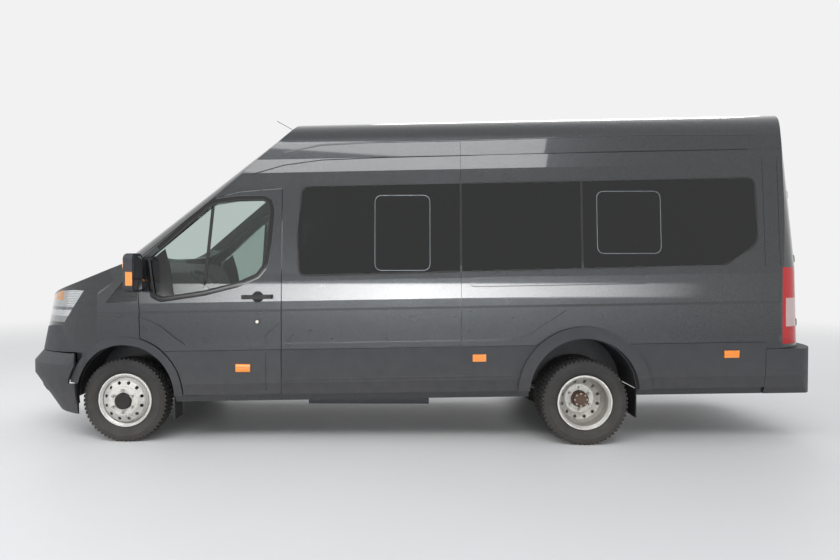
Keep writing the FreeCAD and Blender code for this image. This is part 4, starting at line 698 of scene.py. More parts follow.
class Repeats:
    """Node trees that set copies of a piece in a ring or in rows, and end as plain meshes."""

    def __init__(self) -> None:
        """Builds both trees."""
        self.ring_tree, inputs = self.start("ring_of_pieces", ("Radius", "Offset", "Phase"))
        turn = number(self.ring_tree, "DIVIDE", math.tau, inputs["Count"])
        index = add(self.ring_tree, "GeometryNodeInputIndex").outputs[0]
        angle = number(self.ring_tree, "MULTIPLY_ADD", index, turn, inputs["Phase"])
        parts = []
        for trig in ("SINE", "COSINE"):
            share = number(self.ring_tree, trig, angle)
            parts.append(number(self.ring_tree, "MULTIPLY", share, inputs["Radius"]))
        spot = add(self.ring_tree, "ShaderNodeCombineXYZ",
                   {0: parts[0], 1: inputs["Offset"], 2: parts[1]}).outputs[0]
        spin = add(self.ring_tree, "ShaderNodeCombineXYZ", {1: angle}).outputs[0]
        self.end(self.ring_tree, inputs, spot, spin)
        self.grid_tree, inputs = self.start("rows_of_pieces", ("Columns", "Stagger"), ("Across", "Down"))
        index = add(self.grid_tree, "GeometryNodeInputIndex").outputs[0]
        column = number(self.grid_tree, "MODULO", index, inputs["Columns"])
        whole = number(self.grid_tree, "DIVIDE", index, inputs["Columns"])
        row = number(self.grid_tree, "FLOOR", whole)
        odd = number(self.grid_tree, "MODULO", row, 2.0)
        shift = number(self.grid_tree, "MULTIPLY_ADD", odd, inputs["Stagger"], column)
        across = add(self.grid_tree, "ShaderNodeVectorMath", {0: inputs["Across"], 3: shift},
                     operation="SCALE").outputs[0]
        down = add(self.grid_tree, "ShaderNodeVectorMath", {0: inputs["Down"], 3: row},
                   operation="SCALE").outputs[0]
        spot = add(self.grid_tree, "ShaderNodeVectorMath", {0: across, 1: down}, operation="ADD").outputs[0]
        self.end(self.grid_tree, inputs, spot, None)

    def start(self, name: str, numbers: Sequence[str], vectors: Sequence[str] = ()) -> tuple[Any, dict[str, Any]]:
        """New tree with its named inputs.

        Args:
            name: the tree's name.
            numbers: names of number inputs.
            vectors: names of vector inputs.

        Returns:
            The tree and its input sockets by name.
        """
        tree = bpy.data.node_groups.new(name, "GeometryNodeTree")
        tree.interface.new_socket("Geometry", in_out="OUTPUT", socket_type="NodeSocketGeometry")
        tree.interface.new_socket("Piece", in_out="INPUT", socket_type="NodeSocketObject")
        tree.interface.new_socket("Finish", in_out="INPUT", socket_type="NodeSocketMaterial")
        tree.interface.new_socket("Count", in_out="INPUT", socket_type="NodeSocketInt")
        for word in numbers:
            tree.interface.new_socket(word, in_out="INPUT", socket_type="NodeSocketFloat")
        for word in vectors:
            tree.interface.new_socket(word, in_out="INPUT", socket_type="NodeSocketVector")
        entry = add(tree, "NodeGroupInput")
        return tree, {socket.name: socket for socket in entry.outputs if socket.name}

    def end(self, tree: bpy.types.NodeTree, inputs: dict[str, Any], spot: Any, spin: Any) -> None:
        """Copies of the piece at the spots, realised and with their finish."""
        dots = add(tree, "GeometryNodePoints", {"Count": inputs["Count"], "Position": spot})
        source = add(tree, "GeometryNodeObjectInfo", {"Object": inputs["Piece"]})
        links = {"Points": dots.outputs[0], "Instance": source.outputs["Geometry"]}
        if spin is not None:
            links["Rotation"] = spin
        copies = add(tree, "GeometryNodeInstanceOnPoints", links)
        real = add(tree, "GeometryNodeRealizeInstances", {0: copies.outputs[0]})
        dressed = add(tree, "GeometryNodeSetMaterial", {"Geometry": real.outputs[0], "Material": inputs["Finish"]})
        add(tree, "NodeGroupOutput", {0: dressed.outputs[0]})

    def make(self, tree: bpy.types.NodeTree, name: str, values: dict[str, Any], origin: Vector) -> bpy.types.Object:
        """Runs a tree once.

        Args:
            tree: the ring's or the rows' tree.
            name: the new piece's name.
            values: the tree's inputs by name.
            origin: where the tree's own origin goes.

        Returns:
            A plain mesh object at the origin.
        """
        holder = linked(name + "_tree", bpy.data.meshes.new(name + "_tree"))
        modifier = holder.modifiers.new("copies", "NODES")
        modifier.node_group = tree
        for item in tree.interface.items_tree:
            if item.in_out == "INPUT" and item.name in values:
                modifier[item.identifier] = values[item.name]
        graph = bpy.context.evaluated_depsgraph_get()
        mesh = bpy.data.meshes.new_from_object(holder.evaluated_get(graph))
        mesh.transform(Matrix.Translation(origin))
        bpy.data.objects.remove(holder)
        return smooth(linked(name, mesh))

    def ring(self, name: str, part: bpy.types.Object, finish: bpy.types.Material, centre: Vector, count: int,
             radius: float, offset: float, phase: float = 0.0) -> bpy.types.Object:
        """Copies round an axis along Y."""
        values = {"Piece": part, "Finish": finish, "Count": count, "Radius": radius * MM, "Offset": offset * MM,
                  "Phase": phase}
        return self.make(self.ring_tree, name, values, centre)

    def rows(self, name: str, part: bpy.types.Object, finish: bpy.types.Material, origin: Vector, columns: int,
             rows: int, across: Vector, down: Vector, stagger: float = 0.0) -> bpy.types.Object:
        """Copies in rows."""
        values = {"Piece": part, "Finish": finish, "Count": columns * rows, "Columns": float(columns),
                  "Stagger": stagger, "Across": tuple(across), "Down": tuple(down)}
        return self.make(self.grid_tree, name, values, origin)


@dataclass
class Workshop:
    """What every sub-assembly is made with."""

    finishes: Finishes
    repeats: Repeats

    def seat(self, piece: bpy.types.Object, body: str, slot: str) -> None:
        """Fixes a finished piece to its body."""
        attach(piece, body)
        log.info("%s on %s, %d faces", piece.name, body, len(piece.data.polygons))


def prism_faces(count: int) -> list[list[int]]:
    """Ends and sides of a prism whose two outlines follow each other in its points."""
    faces = [list(range(count)), list(range(count, 2 * count))]
    return faces + [[i, (i + 1) % count, count + (i + 1) % count, count + i] for i in range(count)]


def block(name: str, corners: Sequence[Point], low: float, high: float, material: bpy.types.Material,
          taper: float = 0.85) -> bpy.types.Object:
    """Block on an outline in X and Y, from low to high along Z, narrower on top.

    Args:
        name: the piece's name.
        corners: outline in millimetres.
        low: lower height.
        high: upper height.
        material: its finish.
        taper: size of the top against the foot.

    Returns:
        The block.
    """
    points = [Vector((x * MM, y * MM, low * MM)) for x, y in corners]
    points += [Vector((x * taper * MM, y * taper * MM, high * MM)) for x, y in corners]
    return mesh_object(name, points, prism_faces(len(corners)), material)


@dataclass
class Tyres:
    """Road tyres: moulded side walls with raised rings, grooves and rows of tread blocks."""

    shop: Workshop
    block_height: float = 9.0
    shoulder_y: float = 69.0
    rib_y: float = 30.0
    rib_phase: float = 0.03
    blocks: int = 60
    turn_steps: int = 96
    shoulder: tuple[Point, ...] = ((-13.0, -15.0), (9.0, -15.0), (14.0, 2.0), (11.0, 15.0), (-12.0, 15.0),
                                   (-9.0, 0.0))
    rib: tuple[Point, ...] = ((-14.0, -11.0), (8.0, -11.0), (14.0, 0.0), (8.0, 11.0), (-14.0, 11.0), (-8.0, 0.0))
    # Distance from the middle and radius, from the bead outwards.
    wall: tuple[Point, ...] = ((71.0, 205.0), (71.5, 223.0), (78.0, 229.0), (86.0, 238.0), (87.5, 243.0),
                               (90.0, 244.0), (95.0, 262.0), (97.0, 276.0), (96.0, 290.0), (96.8, 292.0),
                               (95.5, 294.0), (92.0, 308.0), (86.0, 322.0), (80.0, 331.0), (60.0, 333.5), (50.0, 334.0),
                               (48.0, 328.0), (42.0, 328.0), (40.0, 334.5), (14.0, 335.0), (12.0, 329.0))

    def tyre(self, name: str, centre: Vector) -> list[bpy.types.Object]:
        """Carcass and tread of one tyre."""
        finish = self.shop.finishes.tyre
        profile = list(self.wall) + [(-w, r) for w, r in reversed(self.wall)]
        points, faces = revolve(profile, centre, self.turn_steps)
        pieces = [mesh_object(name + "_carcass", points, faces, finish)]
        base = WHEEL_RADIUS - self.block_height
        rows = (("left", self.shoulder, -self.shoulder_y, 0.0), ("mid_left", self.rib, -self.rib_y, self.rib_phase),
                ("mid", self.rib, 0.0, 0.0), ("mid_right", self.rib, self.rib_y, self.rib_phase),
                ("right", self.shoulder, self.shoulder_y, 0.0))
        for key, outline, offset, phase in rows:
            part = block(name + "_block", outline, -2.0, self.block_height, finish, 0.9)
            pieces.append(self.shop.repeats.ring(f"{name}_{key}", part, finish, centre, self.blocks, base, offset,
                                                 phase))
            bpy.data.objects.remove(part)
        return pieces

    def build(self) -> None:
        """All six tyres, one piece a wheel body."""
        for side in Side:
            centre = place(0, side.value * FRONT_WHEEL_Y, WHEEL_RADIUS)
            front = joined("front_tyre_tread_" + side.word, self.tyre("front_" + side.word, centre))
            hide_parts("front_tyre_" + side.word)
            self.shop.seat(front, "front_wheel_" + side.word, "tyre_rubber")
            twins: list[bpy.types.Object] = []
            for key, y in (("inner", TWIN_INNER_Y), ("outer", TWIN_OUTER_Y)):
                twins += self.tyre(f"rear_{key}_{side.word}", place(WHEELBASE, side.value * y, WHEEL_RADIUS))
            rear = joined("rear_tyre_treads_" + side.word, twins)
            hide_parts("rear_tyres_" + side.word)
            self.shop.seat(rear, "rear_wheels_" + side.word, "tyre_rubber")


@dataclass
class Hubs:
    """Nut caps and rubbed rim edges of the wheels, and hub bolts of the rear ones."""

    shop: Workshop
    # Count, circle, radius and height of the hexagon heads.
    nut_caps: tuple[int, float, float, float] = (6, 90.0, 13.5, 9.0)
    hub_bolts: tuple[int, float, float, float] = (8, 50.0, 7.5, 7.0)
    lip_radius: float = 214.0
    lip_steps: int = 72
    lip: tuple[Point, ...] = ((-3.0, 208.0), (3.0, 210.0), (3.0, 218.0), (-3.0, 219.0))

    def hexagon(self, radius: float) -> list[Point]:
        """Outline of a nut."""
        return [(radius * math.cos(math.pi * k / 3), radius * math.sin(math.pi * k / 3)) for k in range(6)]

    def ring(self, name: str, skin: Skin, axle_x: float, side: Side, count: int, circle: float,
             radius: float, height: float) -> bpy.types.Object:
        """Hexagon heads standing out of a wheel, seated on what is behind them."""
        finish = self.shop.finishes.zinc
        spot, _ = skin.side(axle_x, WHEEL_RADIUS + circle, side)
        head = block(name + "_head", self.hexagon(radius), -1.0, height, finish, 0.86)
        head.data.transform(Matrix.Rotation(side.value * math.pi / -2, 4, "X"))
        centre = place(axle_x, 0, WHEEL_RADIUS)
        ring = self.shop.repeats.ring(name, head, finish, centre, count, circle, spot.y / MM)
        bpy.data.objects.remove(head)
        return ring

    def build(self) -> None:
        """Nut caps, hub bolts and rim edges of the four wheels."""
        for side in Side:
            for key, node, axle_x, body in (("front", "front_rim_", 0.0, "front_wheel_"),
                                            ("rear", "rear_rims_", WHEELBASE, "rear_wheels_")):
                skin = Skin([node + side.word])
                name = f"{key}_wheel_{{}}_{side.word}"
                pieces = [self.ring(name.format("nut_caps"), skin, axle_x, side, *self.nut_caps)]
                spot, _ = skin.side(axle_x, WHEEL_RADIUS + self.lip_radius, side)
                points, faces = revolve(self.lip, place(axle_x, spot.y / MM, WHEEL_RADIUS), self.lip_steps)
                pieces.append(mesh_object(name.format("rim_lip"), points, faces, self.shop.finishes.lip))
                if key == "rear":
                    pieces.append(self.ring(name.format("hub_bolts"), skin, axle_x, side, *self.hub_bolts))
                self.shop.seat(joined(name.format("fasteners"), pieces), body + side.word, "wheel_silver")


@dataclass
class SideGlazing:
    """Rubber round the side windows, the bars between the panes and, on the left, the slim sliding vents."""

    shop: Workshop
    front: float = 1432.0
    rear: float = 5132.0
    belt: float = 1343.0
    head: float = 2066.0
    shares: tuple[Point, ...] = ((0.005, 0.0), (0.0, 0.45), (0.010, 1.0), (0.995, 1.0), (1.0, 0.27), (0.93, 0.035))
    radii: tuple[float, ...] = (60.0, 0.0, 70.0, 70.0, 160.0, 130.0)
    seams: tuple[float, ...] = (2757.0, 3730.0)
    vents: tuple[tuple[float, float, float, float], ...] = ((2062.0, 2507.0, 1407.0, 2016.0),
                                                            (3851.0, 4360.0, 1541.0, 2043.0))
    # Looks for a bar are taken on the pane this far ahead of it.
    bar_shift: float = 14.0
    vent_radius: float = 60.0

    def outline(self) -> list[Point]:
        """Edge of the glazed band in X and height."""
        points = []
        for a, b in self.shares:
            x = self.front + a * (self.rear - self.front)
            points.append((x, climbed(x, self.belt + b * (self.head - self.belt))))
        return rounded(points, self.radii)

    def build(self) -> None:
        """Gaskets, bars and vents on both sides."""
        for side in Side:
            wall = "side_wall_" + side.word
            glass = "side_glass_" + side.word
            names = [wall, glass] + (["sliding_door"] if side is Side.RIGHT else [])
            pane = Skin([glass])
            pieces = [Skin(names).strip("window_gasket", side, self.outline(), flat_bead(15.0, 2.2, 5.0),
                                        self.shop.finishes.seal, 45.0, True)]
            for x in self.seams:
                line = fine([(x, climbed(x, self.belt + 2)), (x, climbed(x, self.head - 2))], 60.0)
                spots = [pane.side(x - self.bar_shift, z, side) for x, z in line]
                spots = [(s + Vector((self.bar_shift * MM, 0, 0)), n) for s, n in spots]
                pieces.append(sweep("pane_bar", spots, flat_bead(18.0, 1.6, 4.0), self.shop.finishes.seal))
            for x0, x1, z0, z1 in self.vents if side is Side.LEFT else ():
                corners = [(x0, z0), (x0, z1), (x1, z1), (x1, z0)]
                pieces.append(pane.strip("vent_frame", side, rounded(corners, [self.vent_radius] * 4),
                                         flat_bead(6.0, 1.4), self.shop.finishes.vent_edge, closed=True))
            self.shop.seat(joined("side_window_rubber_" + side.word, pieces), "body", "trim_plastic")


@dataclass
class BodyLines:
    """Gutter strips, creases, post lines, corner reflectors, rail edge, panel seams and the roof aerial."""

    shop: Workshop
    gutter: tuple[Point, ...] = ((1050.0, 2191.0), (1202.0, 2235.0), (1316.0, 2269.0), (1618.0, 2310.0),
                                 (2076.0, 2328.0), (2764.0, 2343.0), (4054.0, 2373.0), (5084.0, 2388.0))
    crease: tuple[Point, ...] = ((1312.0, 2377.0), (1615.0, 2440.0), (2075.0, 2462.0), (2764.0, 2473.0),
                                 (4228.0, 2512.0), (5149.0, 2510.0))
    cladding: tuple[Point, ...] = ((1340.0, 527.0), (2736.0, 555.0), (3180.0, 563.0))
    pillar_xs: tuple[float, ...] = (5182.0, 5300.0)
    sensor: Point = (5250.0, 722.0)
    rail_x: Point = (2838.0, 4245.0)
    rail_low: float = 1229.0
    rail_high: float = 1300.0
    seam_x: float = 2757.0
    # Low and high end of each seam, and the step of its looks.
    seams: tuple[tuple[str, float, float, float], ...] = (("panel_seam", 1330.0, 760.0, 40.0),
                                                          ("panel_seam_high", 2090.0, 2430.0, 30.0))
    post: Point = (1440.0, 2330.0)
    aerial_spot: Point = (1330.0, -560.0)

    def build(self) -> None:
        """Lines of both sides and the aerial."""
        finishes = self.shop.finishes
        for side in Side:
            walls = ["side_wall_" + side.word, "roof_panel", "cab_frame", "side_cladding"]
            walls += ["sliding_door"] if side is Side.RIGHT else []
            skin = Skin(walls)
            pieces = [skin.strip("gutter_strip", side, self.gutter, flat_bead(7.0, 2.5), finishes.seal)]
            for name, line, finish in (("roof_crease", self.crease, finishes.enamel),
                                       ("cladding_crease", self.cladding, finishes.polypropylene)):
                pieces.append(skin.strip(name, side, line, flat_bead(14.0, 2.5), finish))
            for x in self.pillar_xs:
                pieces.append(skin.strip("corner_post_line", side, [(x, z) for z in self.post], flat_bead(4.0, 0.8),
                                         finishes.acrylic))
            spot, normal = skin.side(*self.sensor, side)
            pieces.append(disc("corner_reflector_rim", spot, normal, 50.0, -2.0, 5.0, finishes.seal))
            pieces.append(disc("corner_reflector", spot, normal, 42.0, 0.0, 8.0, finishes.reflector))
            low, high = self.rail_low, self.rail_high
            x0, x1 = self.rail_x
            corners = [(x, climbed(x, z)) for x, z in ((x0, low), (x0, high), (x1, high), (x1, low))]
            pieces.append(skin.strip("rail_panel_edge", side, rounded(corners, [25.0] * 4), flat_bead(6.0, 1.2),
                                     finishes.enamel, closed=True))
            for name, start, end, step in self.seams if side is Side.LEFT else ():
                line = [(self.seam_x, climbed(self.seam_x, z)) for z in (start, end)]
                pieces.append(skin.strip(name, side, line, flat_bead(4.0, 0.5), finishes.acrylic, step))
            self.shop.seat(joined("body_lines_" + side.word, pieces), "body", "trim_plastic")
        self.aerial()

    def aerial(self) -> None:
        """Short whip aerial on its foot over the windscreen."""
        spot, _ = Skin(["roof_panel"]).top(*self.aerial_spot)
        rod = [(spot + Vector(step), Vector((1, 0, 0))) for step in ((0, 0, -0.002), (0.006, 0, 0.018))]
        foot = sweep("aerial_foot", rod, round_bead(14.0, 16), self.shop.finishes.seal)
        line = [(spot + Vector((0.006 - 0.05 * k, 0, 0.018 + 0.028 * k)), Vector((0.5, 0, 1)).normalized())
                for k in range(4)]
        whip = sweep("aerial_whip", line, round_bead(2.2, 8), self.shop.finishes.seal)
        self.shop.seat(joined("roof_aerial", [foot, whip]), "body", "trim_plastic")


@dataclass
class CabDoors:
    """Window rubber and surround, mirror sail, quarter light bar, lock, handle bezel and side lamp of the
    front doors, with the glass and indicators of their mirrors."""

    shop: Workshop
    window: tuple[Point, ...] = ((225.0, 1502.0), (275.0, 1213.0), (330.0, 1188.0), (683.0, 1240.0),
                                 (939.0, 1305.0), (1105.0, 1375.0), (1155.0, 1441.0), (1187.0, 1635.0),
                                 (1207.0, 1891.0), (1190.0, 1962.0), (1150.0, 1985.0), (947.0, 1982.0),
                                 (769.0, 1957.0), (701.0, 1922.0))
    bar: tuple[Point, Point] = ((676.0, 1240.0), (738.0, 1928.0))
    lock: Point = (1112.0, 995.0)
    handle: Point = (1116.0, 1195.0)
    low_seam: tuple[Point, ...] = ((1290.0, 985.0), (1181.0, 890.0), (1181.0, 440.0))
    lamp: tuple[float, float, float, float] = (938.0, 1056.0, 590.0, 655.0)
    surround: tuple[Point, ...] = ((-4.0, -4.0), (36.0, -4.0), (36.0, 0.8), (30.0, 1.8), (-4.0, 1.8))
    sail_front: tuple[Point, ...] = ((234.0, 1490.0), (276.0, 1222.0), (334.0, 1198.0))
    sail_rear: tuple[Point, ...] = ((352.0, 1585.0), (400.0, 1420.0), (430.0, 1212.0))
    # Inner edge, low and high end of the mirror glasses, and the inset of their outer edge.
    glass_inner: float = 1.070
    glasses: tuple[tuple[str, float, float], ...] = (("main", 1350.0, 1523.0), ("wide", 1258.0, 1335.0))
    glass_inset: float = 22.0
    indicator_z: float = 1452.0
    side_indicator: tuple[float, float, tuple[float, ...]] = (30.0, 85.0, (1292.0, 1345.0, 1398.0))

    def build(self) -> None:
        """Trim of both doors."""
        finishes = self.shop.finishes
        for side in Side:
            door = Skin(["front_door_" + side.word])
            both = Skin(["front_door_" + side.word, "front_door_glass_" + side.word])
            trim = Skin(["front_door_trim_" + side.word])
            ring = [both.side(x, z, side) for x, z in fine(self.window, 40.0, closed=True)]
            pieces = [sweep("door_glass_rubber", ring, flat_bead(16.0, 2.4, 5.0), finishes.seal, True)]
            wide = [(side.value * a, b) for a, b in self.surround]
            pieces.append(sweep("door_window_surround", ring, wide, finishes.acrylic, True))
            glass = Skin(["front_door_glass_" + side.word])
            pieces.append(glass.strip("quarter_light_bar", side, self.bar, flat_bead(26.0, 5.0), finishes.seal,
                                      50.0))
            pieces.append(plate("mirror_sail", both.side_of(side), self.sail_front, self.sail_rear, 3.0,
                                finishes.acrylic))
            spot, normal = door.side(*self.lock, side)
            pieces.append(disc("lock_rim", spot, normal, 24.0, -2.0, 4.0, finishes.seal))
            pieces.append(disc("lock_barrel", spot, normal, 13.0, 0.0, 6.0, finishes.zinc))
            spot, normal = door.side(*self.handle, side)
            pieces.append(disc("handle_bezel", spot, normal, 46.0, -2.0, 3.5, finishes.seal))
            outside = Skin(["front_door_" + side.word, "front_door_trim_" + side.word])
            pieces.append(outside.strip("door_low_seam", side, self.low_seam, flat_bead(4.0, 0.6), finishes.acrylic,
                                        30.0))
            x0, x1, z0, z1 = self.lamp
            pieces.append(self.lens("door_side_lamp", trim, side, x0, x1, (z0 + z1) / 2, z1 - z0))
            self.shop.seat(joined("front_door_details_" + side.word, pieces), "front_door_" + side.word,
                           "trim_plastic")
            self.mirror(side)

    def lens(self, name: str, skin: Skin, side: Side, x0: float, x1: float, middle: float,
             height: float) -> bpy.types.Object:
        """Oblong amber lens standing on the surface."""
        half = height / 2
        section = [(-half, -3.0), (half, -3.0), (half, 5.0), (half * 0.8, 8.0), (-half * 0.8, 8.0), (-half, 5.0)]
        return skin.strip(name, side, [(x0, middle), (x1, middle)], section, self.shop.finishes.amber, 30.0)

    def mirror(self, side: Side) -> None:
        """Two mirror glasses on the rear face, and an indicator on the front and on the side of the housing."""
        finishes = self.shop.finishes
        node = "mirror_" + side.word
        low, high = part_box(node)
        skin = Skin([node])
        y_out = low.y if side is Side.LEFT else high.y
        inner = side.value * self.glass_inner
        edge = y_out / MM - side.value * self.glass_inset
        pieces = []
        for key, z0, z1 in self.glasses:
            corners = [(inner / MM, z0), (inner / MM, z1), (edge, z1), (edge, z0)]
            path = fine(rounded(corners, [22.0] * 4), 30.0, closed=True)
            ring = [skin.rear(y, z) for y, z in path]
            x = max(spot.x for spot, _ in ring)
            front = [Vector((x - 0.001, spot.y, spot.z)) for spot, _ in ring]
            back = [Vector((x + 0.002, spot.y, spot.z)) for spot, _ in ring]
            faces = prism_faces(len(front))
            pieces.append(mesh_object("mirror_glass_" + key, front + back, faces, finishes.chrome))
        ends = [(y_out / MM - side.value * 14, 0.0), (inner / MM + side.value * 70, 0.0)]
        line = [skin.front(y, self.indicator_z) for y, _ in fine(ends, 15.0)]
        pieces.append(sweep("mirror_indicator", line, flat_bead(52.0, 4.0, 4.0), finishes.amber))
        start, length, heights = self.side_indicator
        x0 = (low.x / MM) + AXLE_TO_MIDDLE + start
        spots = [(x0, z) for z in heights]
        pieces.append(plate("mirror_side_indicator", skin.side_of(side), spots, [(x + length, z) for x, z in spots],
                            4.0, finishes.amber))
        self.shop.seat(joined("mirror_details_" + side.word, pieces), "front_door_" + side.word, "trim_plastic")


@dataclass
class FrontEnd:
    """Wipers, louvred cowl corners, feet of the front flares, grille mesh and fog lamps."""

    shop: Workshop
    grille_half: float = 430.0
    grille_low: float = 775.0
    grille_high: float = 1010.0
    # Centre, inner and outer radius of the front flare.
    arch: tuple[float, float, float, float] = (26.0, 402.0, 406.0, 469.0)
    foot_turns: tuple[float, ...] = (12.0, 18.0, 24.0, 30.0, 36.0, 42.0)
    cowl_low: tuple[Point, ...] = ((-123.0, 1145.0), (-60.0, 1148.0), (10.0, 1152.0), (80.0, 1156.0),
                                   (134.0, 1161.0))
    cowl_high: tuple[Point, ...] = ((-104.0, 1176.0), (-46.0, 1246.0), (20.0, 1326.0), (81.0, 1399.0),
                                    (130.0, 1399.0))
    louvres: tuple[Point, ...] = ((-60.0, 1200.0), (-28.0, 1240.0), (6.0, 1280.0), (38.0, 1320.0), (70.0, 1360.0))
    louvre_end: float = 120.0
    # Pivot and tip in Y, and the heights of both.
    wiper_arms: tuple[tuple[float, float, float, float], ...] = ((-620.0, 60.0, 1520.0, 1590.0),
                                                                 (40.0, 700.0, 1520.0, 1580.0))
    # Pitch, outer radius and inner share of the mesh's cells, and the share of the pitch between its rows.
    cell_pitch: float = 24.0
    cell_radius: float = 12.5
    cell_bore_share: float = 0.86
    row_share: float = 0.87
    # Height of the looks that the mesh's bend is taken from, and the furthest of them from the middle.
    bend_z: float = 762.0
    bend_half: float = 470.0
    fog_ys: tuple[float, ...] = (-640.0, 640.0)
    fog_z: float = 400.0

    def build(self) -> None:
        """Front details."""
        self.wipers()
        self.cowl_corners()
        self.mesh_panel("grille_mesh", self.grille_low, self.grille_high, self.grille_half, "radiator_grille")
        self.fog_lamps()

    def cowl_corners(self) -> None:
        """Black louvred triangles between the bonnet and the front doors."""
        finishes = self.shop.finishes
        for side in Side:
            skin = Skin(["front_wings", "cab_frame"])
            look = skin.side_of(side)
            pieces = [plate("cowl_corner", look, self.cowl_low, self.cowl_high, 2.5, finishes.acrylic)]
            for x, z in self.louvres:
                pieces.append(skin.strip("cowl_louvre", side, [(x, z), (self.louvre_end, z)], flat_bead(6.0, 5.0),
                                         finishes.polypropylene, 25.0))
            pieces.append(self.flare_foot(side))
            self.shop.seat(joined("cowl_corner_" + side.word, pieces), "body", "trim_plastic")

    def flare_foot(self, side: Side) -> bpy.types.Object:
        """Foot of the front flare, between the arch and the bumper's rear edge."""
        edge, _ = Skin(["side_cladding"]).side(-325.0, 640.0, side)
        turns = [math.radians(a) for a in self.foot_turns]
        outer, inner = [[(self.arch[0] - r * math.cos(t), self.arch[1] + r * math.sin(t)) for t in turns]
                        for r in (self.arch[3], self.arch[2])]

        def look(x: float, z: float) -> tuple[Vector, Vector]:
            """Upright plane through the flare's face."""
            return Vector((place(x, 0, z).x, edge.y, z * MM)), Vector((0, side.value, 0))

        return plate("front_flare_foot", look, outer, inner, 0.5, self.shop.finishes.polypropylene, 4, 26.0)

    def wipers(self) -> None:
        """Two arms and blades parked low on the screen."""
        skin = Skin(["windscreen", "cab_frame"])
        finish = self.shop.finishes.seal
        pieces = []
        for pivot, tip, height, end in self.wiper_arms:
            arm = [(pivot + (tip - pivot) * t, height + (end - height) * t) for t in (0.0, 0.2, 0.4, 0.6)]
            spots = [skin.front(y, z) for y, z in arm]
            spots = [(s + n * (0.012 + 0.012 * (k > 0)), n) for k, (s, n) in enumerate(spots)]
            pieces.append(sweep("wiper_arm", spots, flat_bead(18.0, 5.0, 3.0), finish))
            shares = [k / 14 for k in range(1, 15)]
            blade = [(pivot + (tip - pivot) * t, height + 4.0 + (end - height) * t) for t in shares]
            spots = [(s + n * 0.006, n) for s, n in (skin.front(y, z) for y, z in blade)]
            pieces.append(sweep("wiper_blade", spots, flat_bead(12.0, 12.0, 6.0), finish))
        self.shop.seat(joined("windscreen_wipers", pieces), "body", "trim_plastic")

    def mesh_panel(self, name: str, low: float, high: float, half: float, node: str) -> None:
        """Honeycomb of short tubes behind the grille's opening.

        Args:
            name: the piece's name.
            low: lower edge, in millimetres.
            high: upper edge.
            half: half of the panel's width.
            node: the grille's node, whose bend the panel follows.
        """
        finish = self.shop.finishes.seal
        corner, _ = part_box(node)
        pitch = self.cell_pitch
        turns = [math.pi * k / 3 + math.pi / 6 for k in range(6)]
        ring = [(self.cell_radius * math.cos(t), self.cell_radius * math.sin(t)) for t in turns]
        inner = [(a * self.cell_bore_share, b * self.cell_bore_share) for a, b in ring]
        points = [Vector((x, y * MM, z * MM)) for x in (0.0, 0.012) for y, z in ring + inner]
        faces = []
        for k in range(6):
            n = (k + 1) % 6
            faces += [[k, n, 6 + n, 6 + k], [12 + k, 12 + n, 18 + n, 18 + k], [k, n, 12 + n, 12 + k],
                      [6 + k, 6 + n, 18 + n, 18 + k]]
        part = mesh_object(name + "_cell", points, faces, finish)
        columns = int(2 * half / pitch)
        rows = int((high - low) / (pitch * self.row_share))
        origin = Vector((corner.x + 0.075, -half * MM, low * MM))
        lean = Vector((0.004, 0, pitch * self.row_share * MM))
        panel = self.shop.repeats.rows(name, part, finish, origin, columns, rows, Vector((0, pitch * MM, 0)), lean,
                                       0.5)
        bpy.data.objects.remove(part)
        skin = Skin([node])
        middle, _ = skin.front(0.0, self.bend_z)
        for vertex in panel.data.vertices:
            spot, _ = skin.front(min(abs(vertex.co.y / MM), self.bend_half), self.bend_z)
            vertex.co.x += spot.x - middle.x
        self.shop.seat(panel, "body", "trim_plastic")

    def fog_lamps(self) -> None:
        """Round lamps low in the bumper's corners."""
        finishes = self.shop.finishes
        skin = Skin(["front_bumper"])
        pieces = []
        for y in self.fog_ys:
            spot, normal = skin.front(y, self.fog_z)
            for radius, out, depth, finish in ((52.0, 5.0, -6.0, finishes.seal), (42.0, 7.5, -2.0, finishes.chrome),
                                               (36.0, 11.0, 5.0, finishes.screen)):
                pieces.append(disc("fog_lamp_part", spot, normal, radius, depth, out, finish))
        self.shop.seat(joined("fog_lamps", pieces), "body", "lamp_clear")


@dataclass
class RearEnd:
    """Hinge leaves, handle and window rubber of the rear doors."""

    shop: Workshop
    hinge_heights: tuple[float, ...] = (980.0, 1500.0, 2025.0)
    hinge_ys: tuple[float, ...] = (790.0, 820.0, 850.0)
    handle_ys: tuple[float, ...] = (-250.0, -190.0, -130.0, -70.0)
    handle_z: float = 1190.0
    window: tuple[Point, ...] = ((90.0, 1512.6), (90.0, 2102.6), (790.0, 2102.6), (790.0, 1512.6))

    def build(self) -> None:
        """Details of both rear doors."""
        finishes = self.shop.finishes
        for side in Side:
            door = Skin(["rear_door_" + side.word, "rear_door_glass_" + side.word])
            pieces = []
            for z in self.hinge_heights:
                line = [door.rear(side.value * y, z) for y in self.hinge_ys]
                finish = finishes.zinc if z == self.hinge_heights[-1] else finishes.enamel
                pieces.append(sweep("rear_hinge_leaf", line, flat_bead(62.0, 7.0, 3.0), finish))
            if side is Side.LEFT:
                line = [door.rear(y, self.handle_z) for y in self.handle_ys]
                pieces.append(sweep("rear_handle", line, flat_bead(42.0, 16.0, 3.0), finishes.polypropylene))
            ring = fine(rounded([(side.value * y, z) for y, z in self.window], [60.0] * 4), 45.0, closed=True)
            spots = [door.rear(y, z) for y, z in ring]
            pieces.append(sweep("rear_window_rubber", spots, flat_bead(15.0, 2.5, 4.0), finishes.seal, True))
            self.shop.seat(joined("rear_door_details_" + side.word, pieces), "rear_door_" + side.word,
                           "trim_plastic")


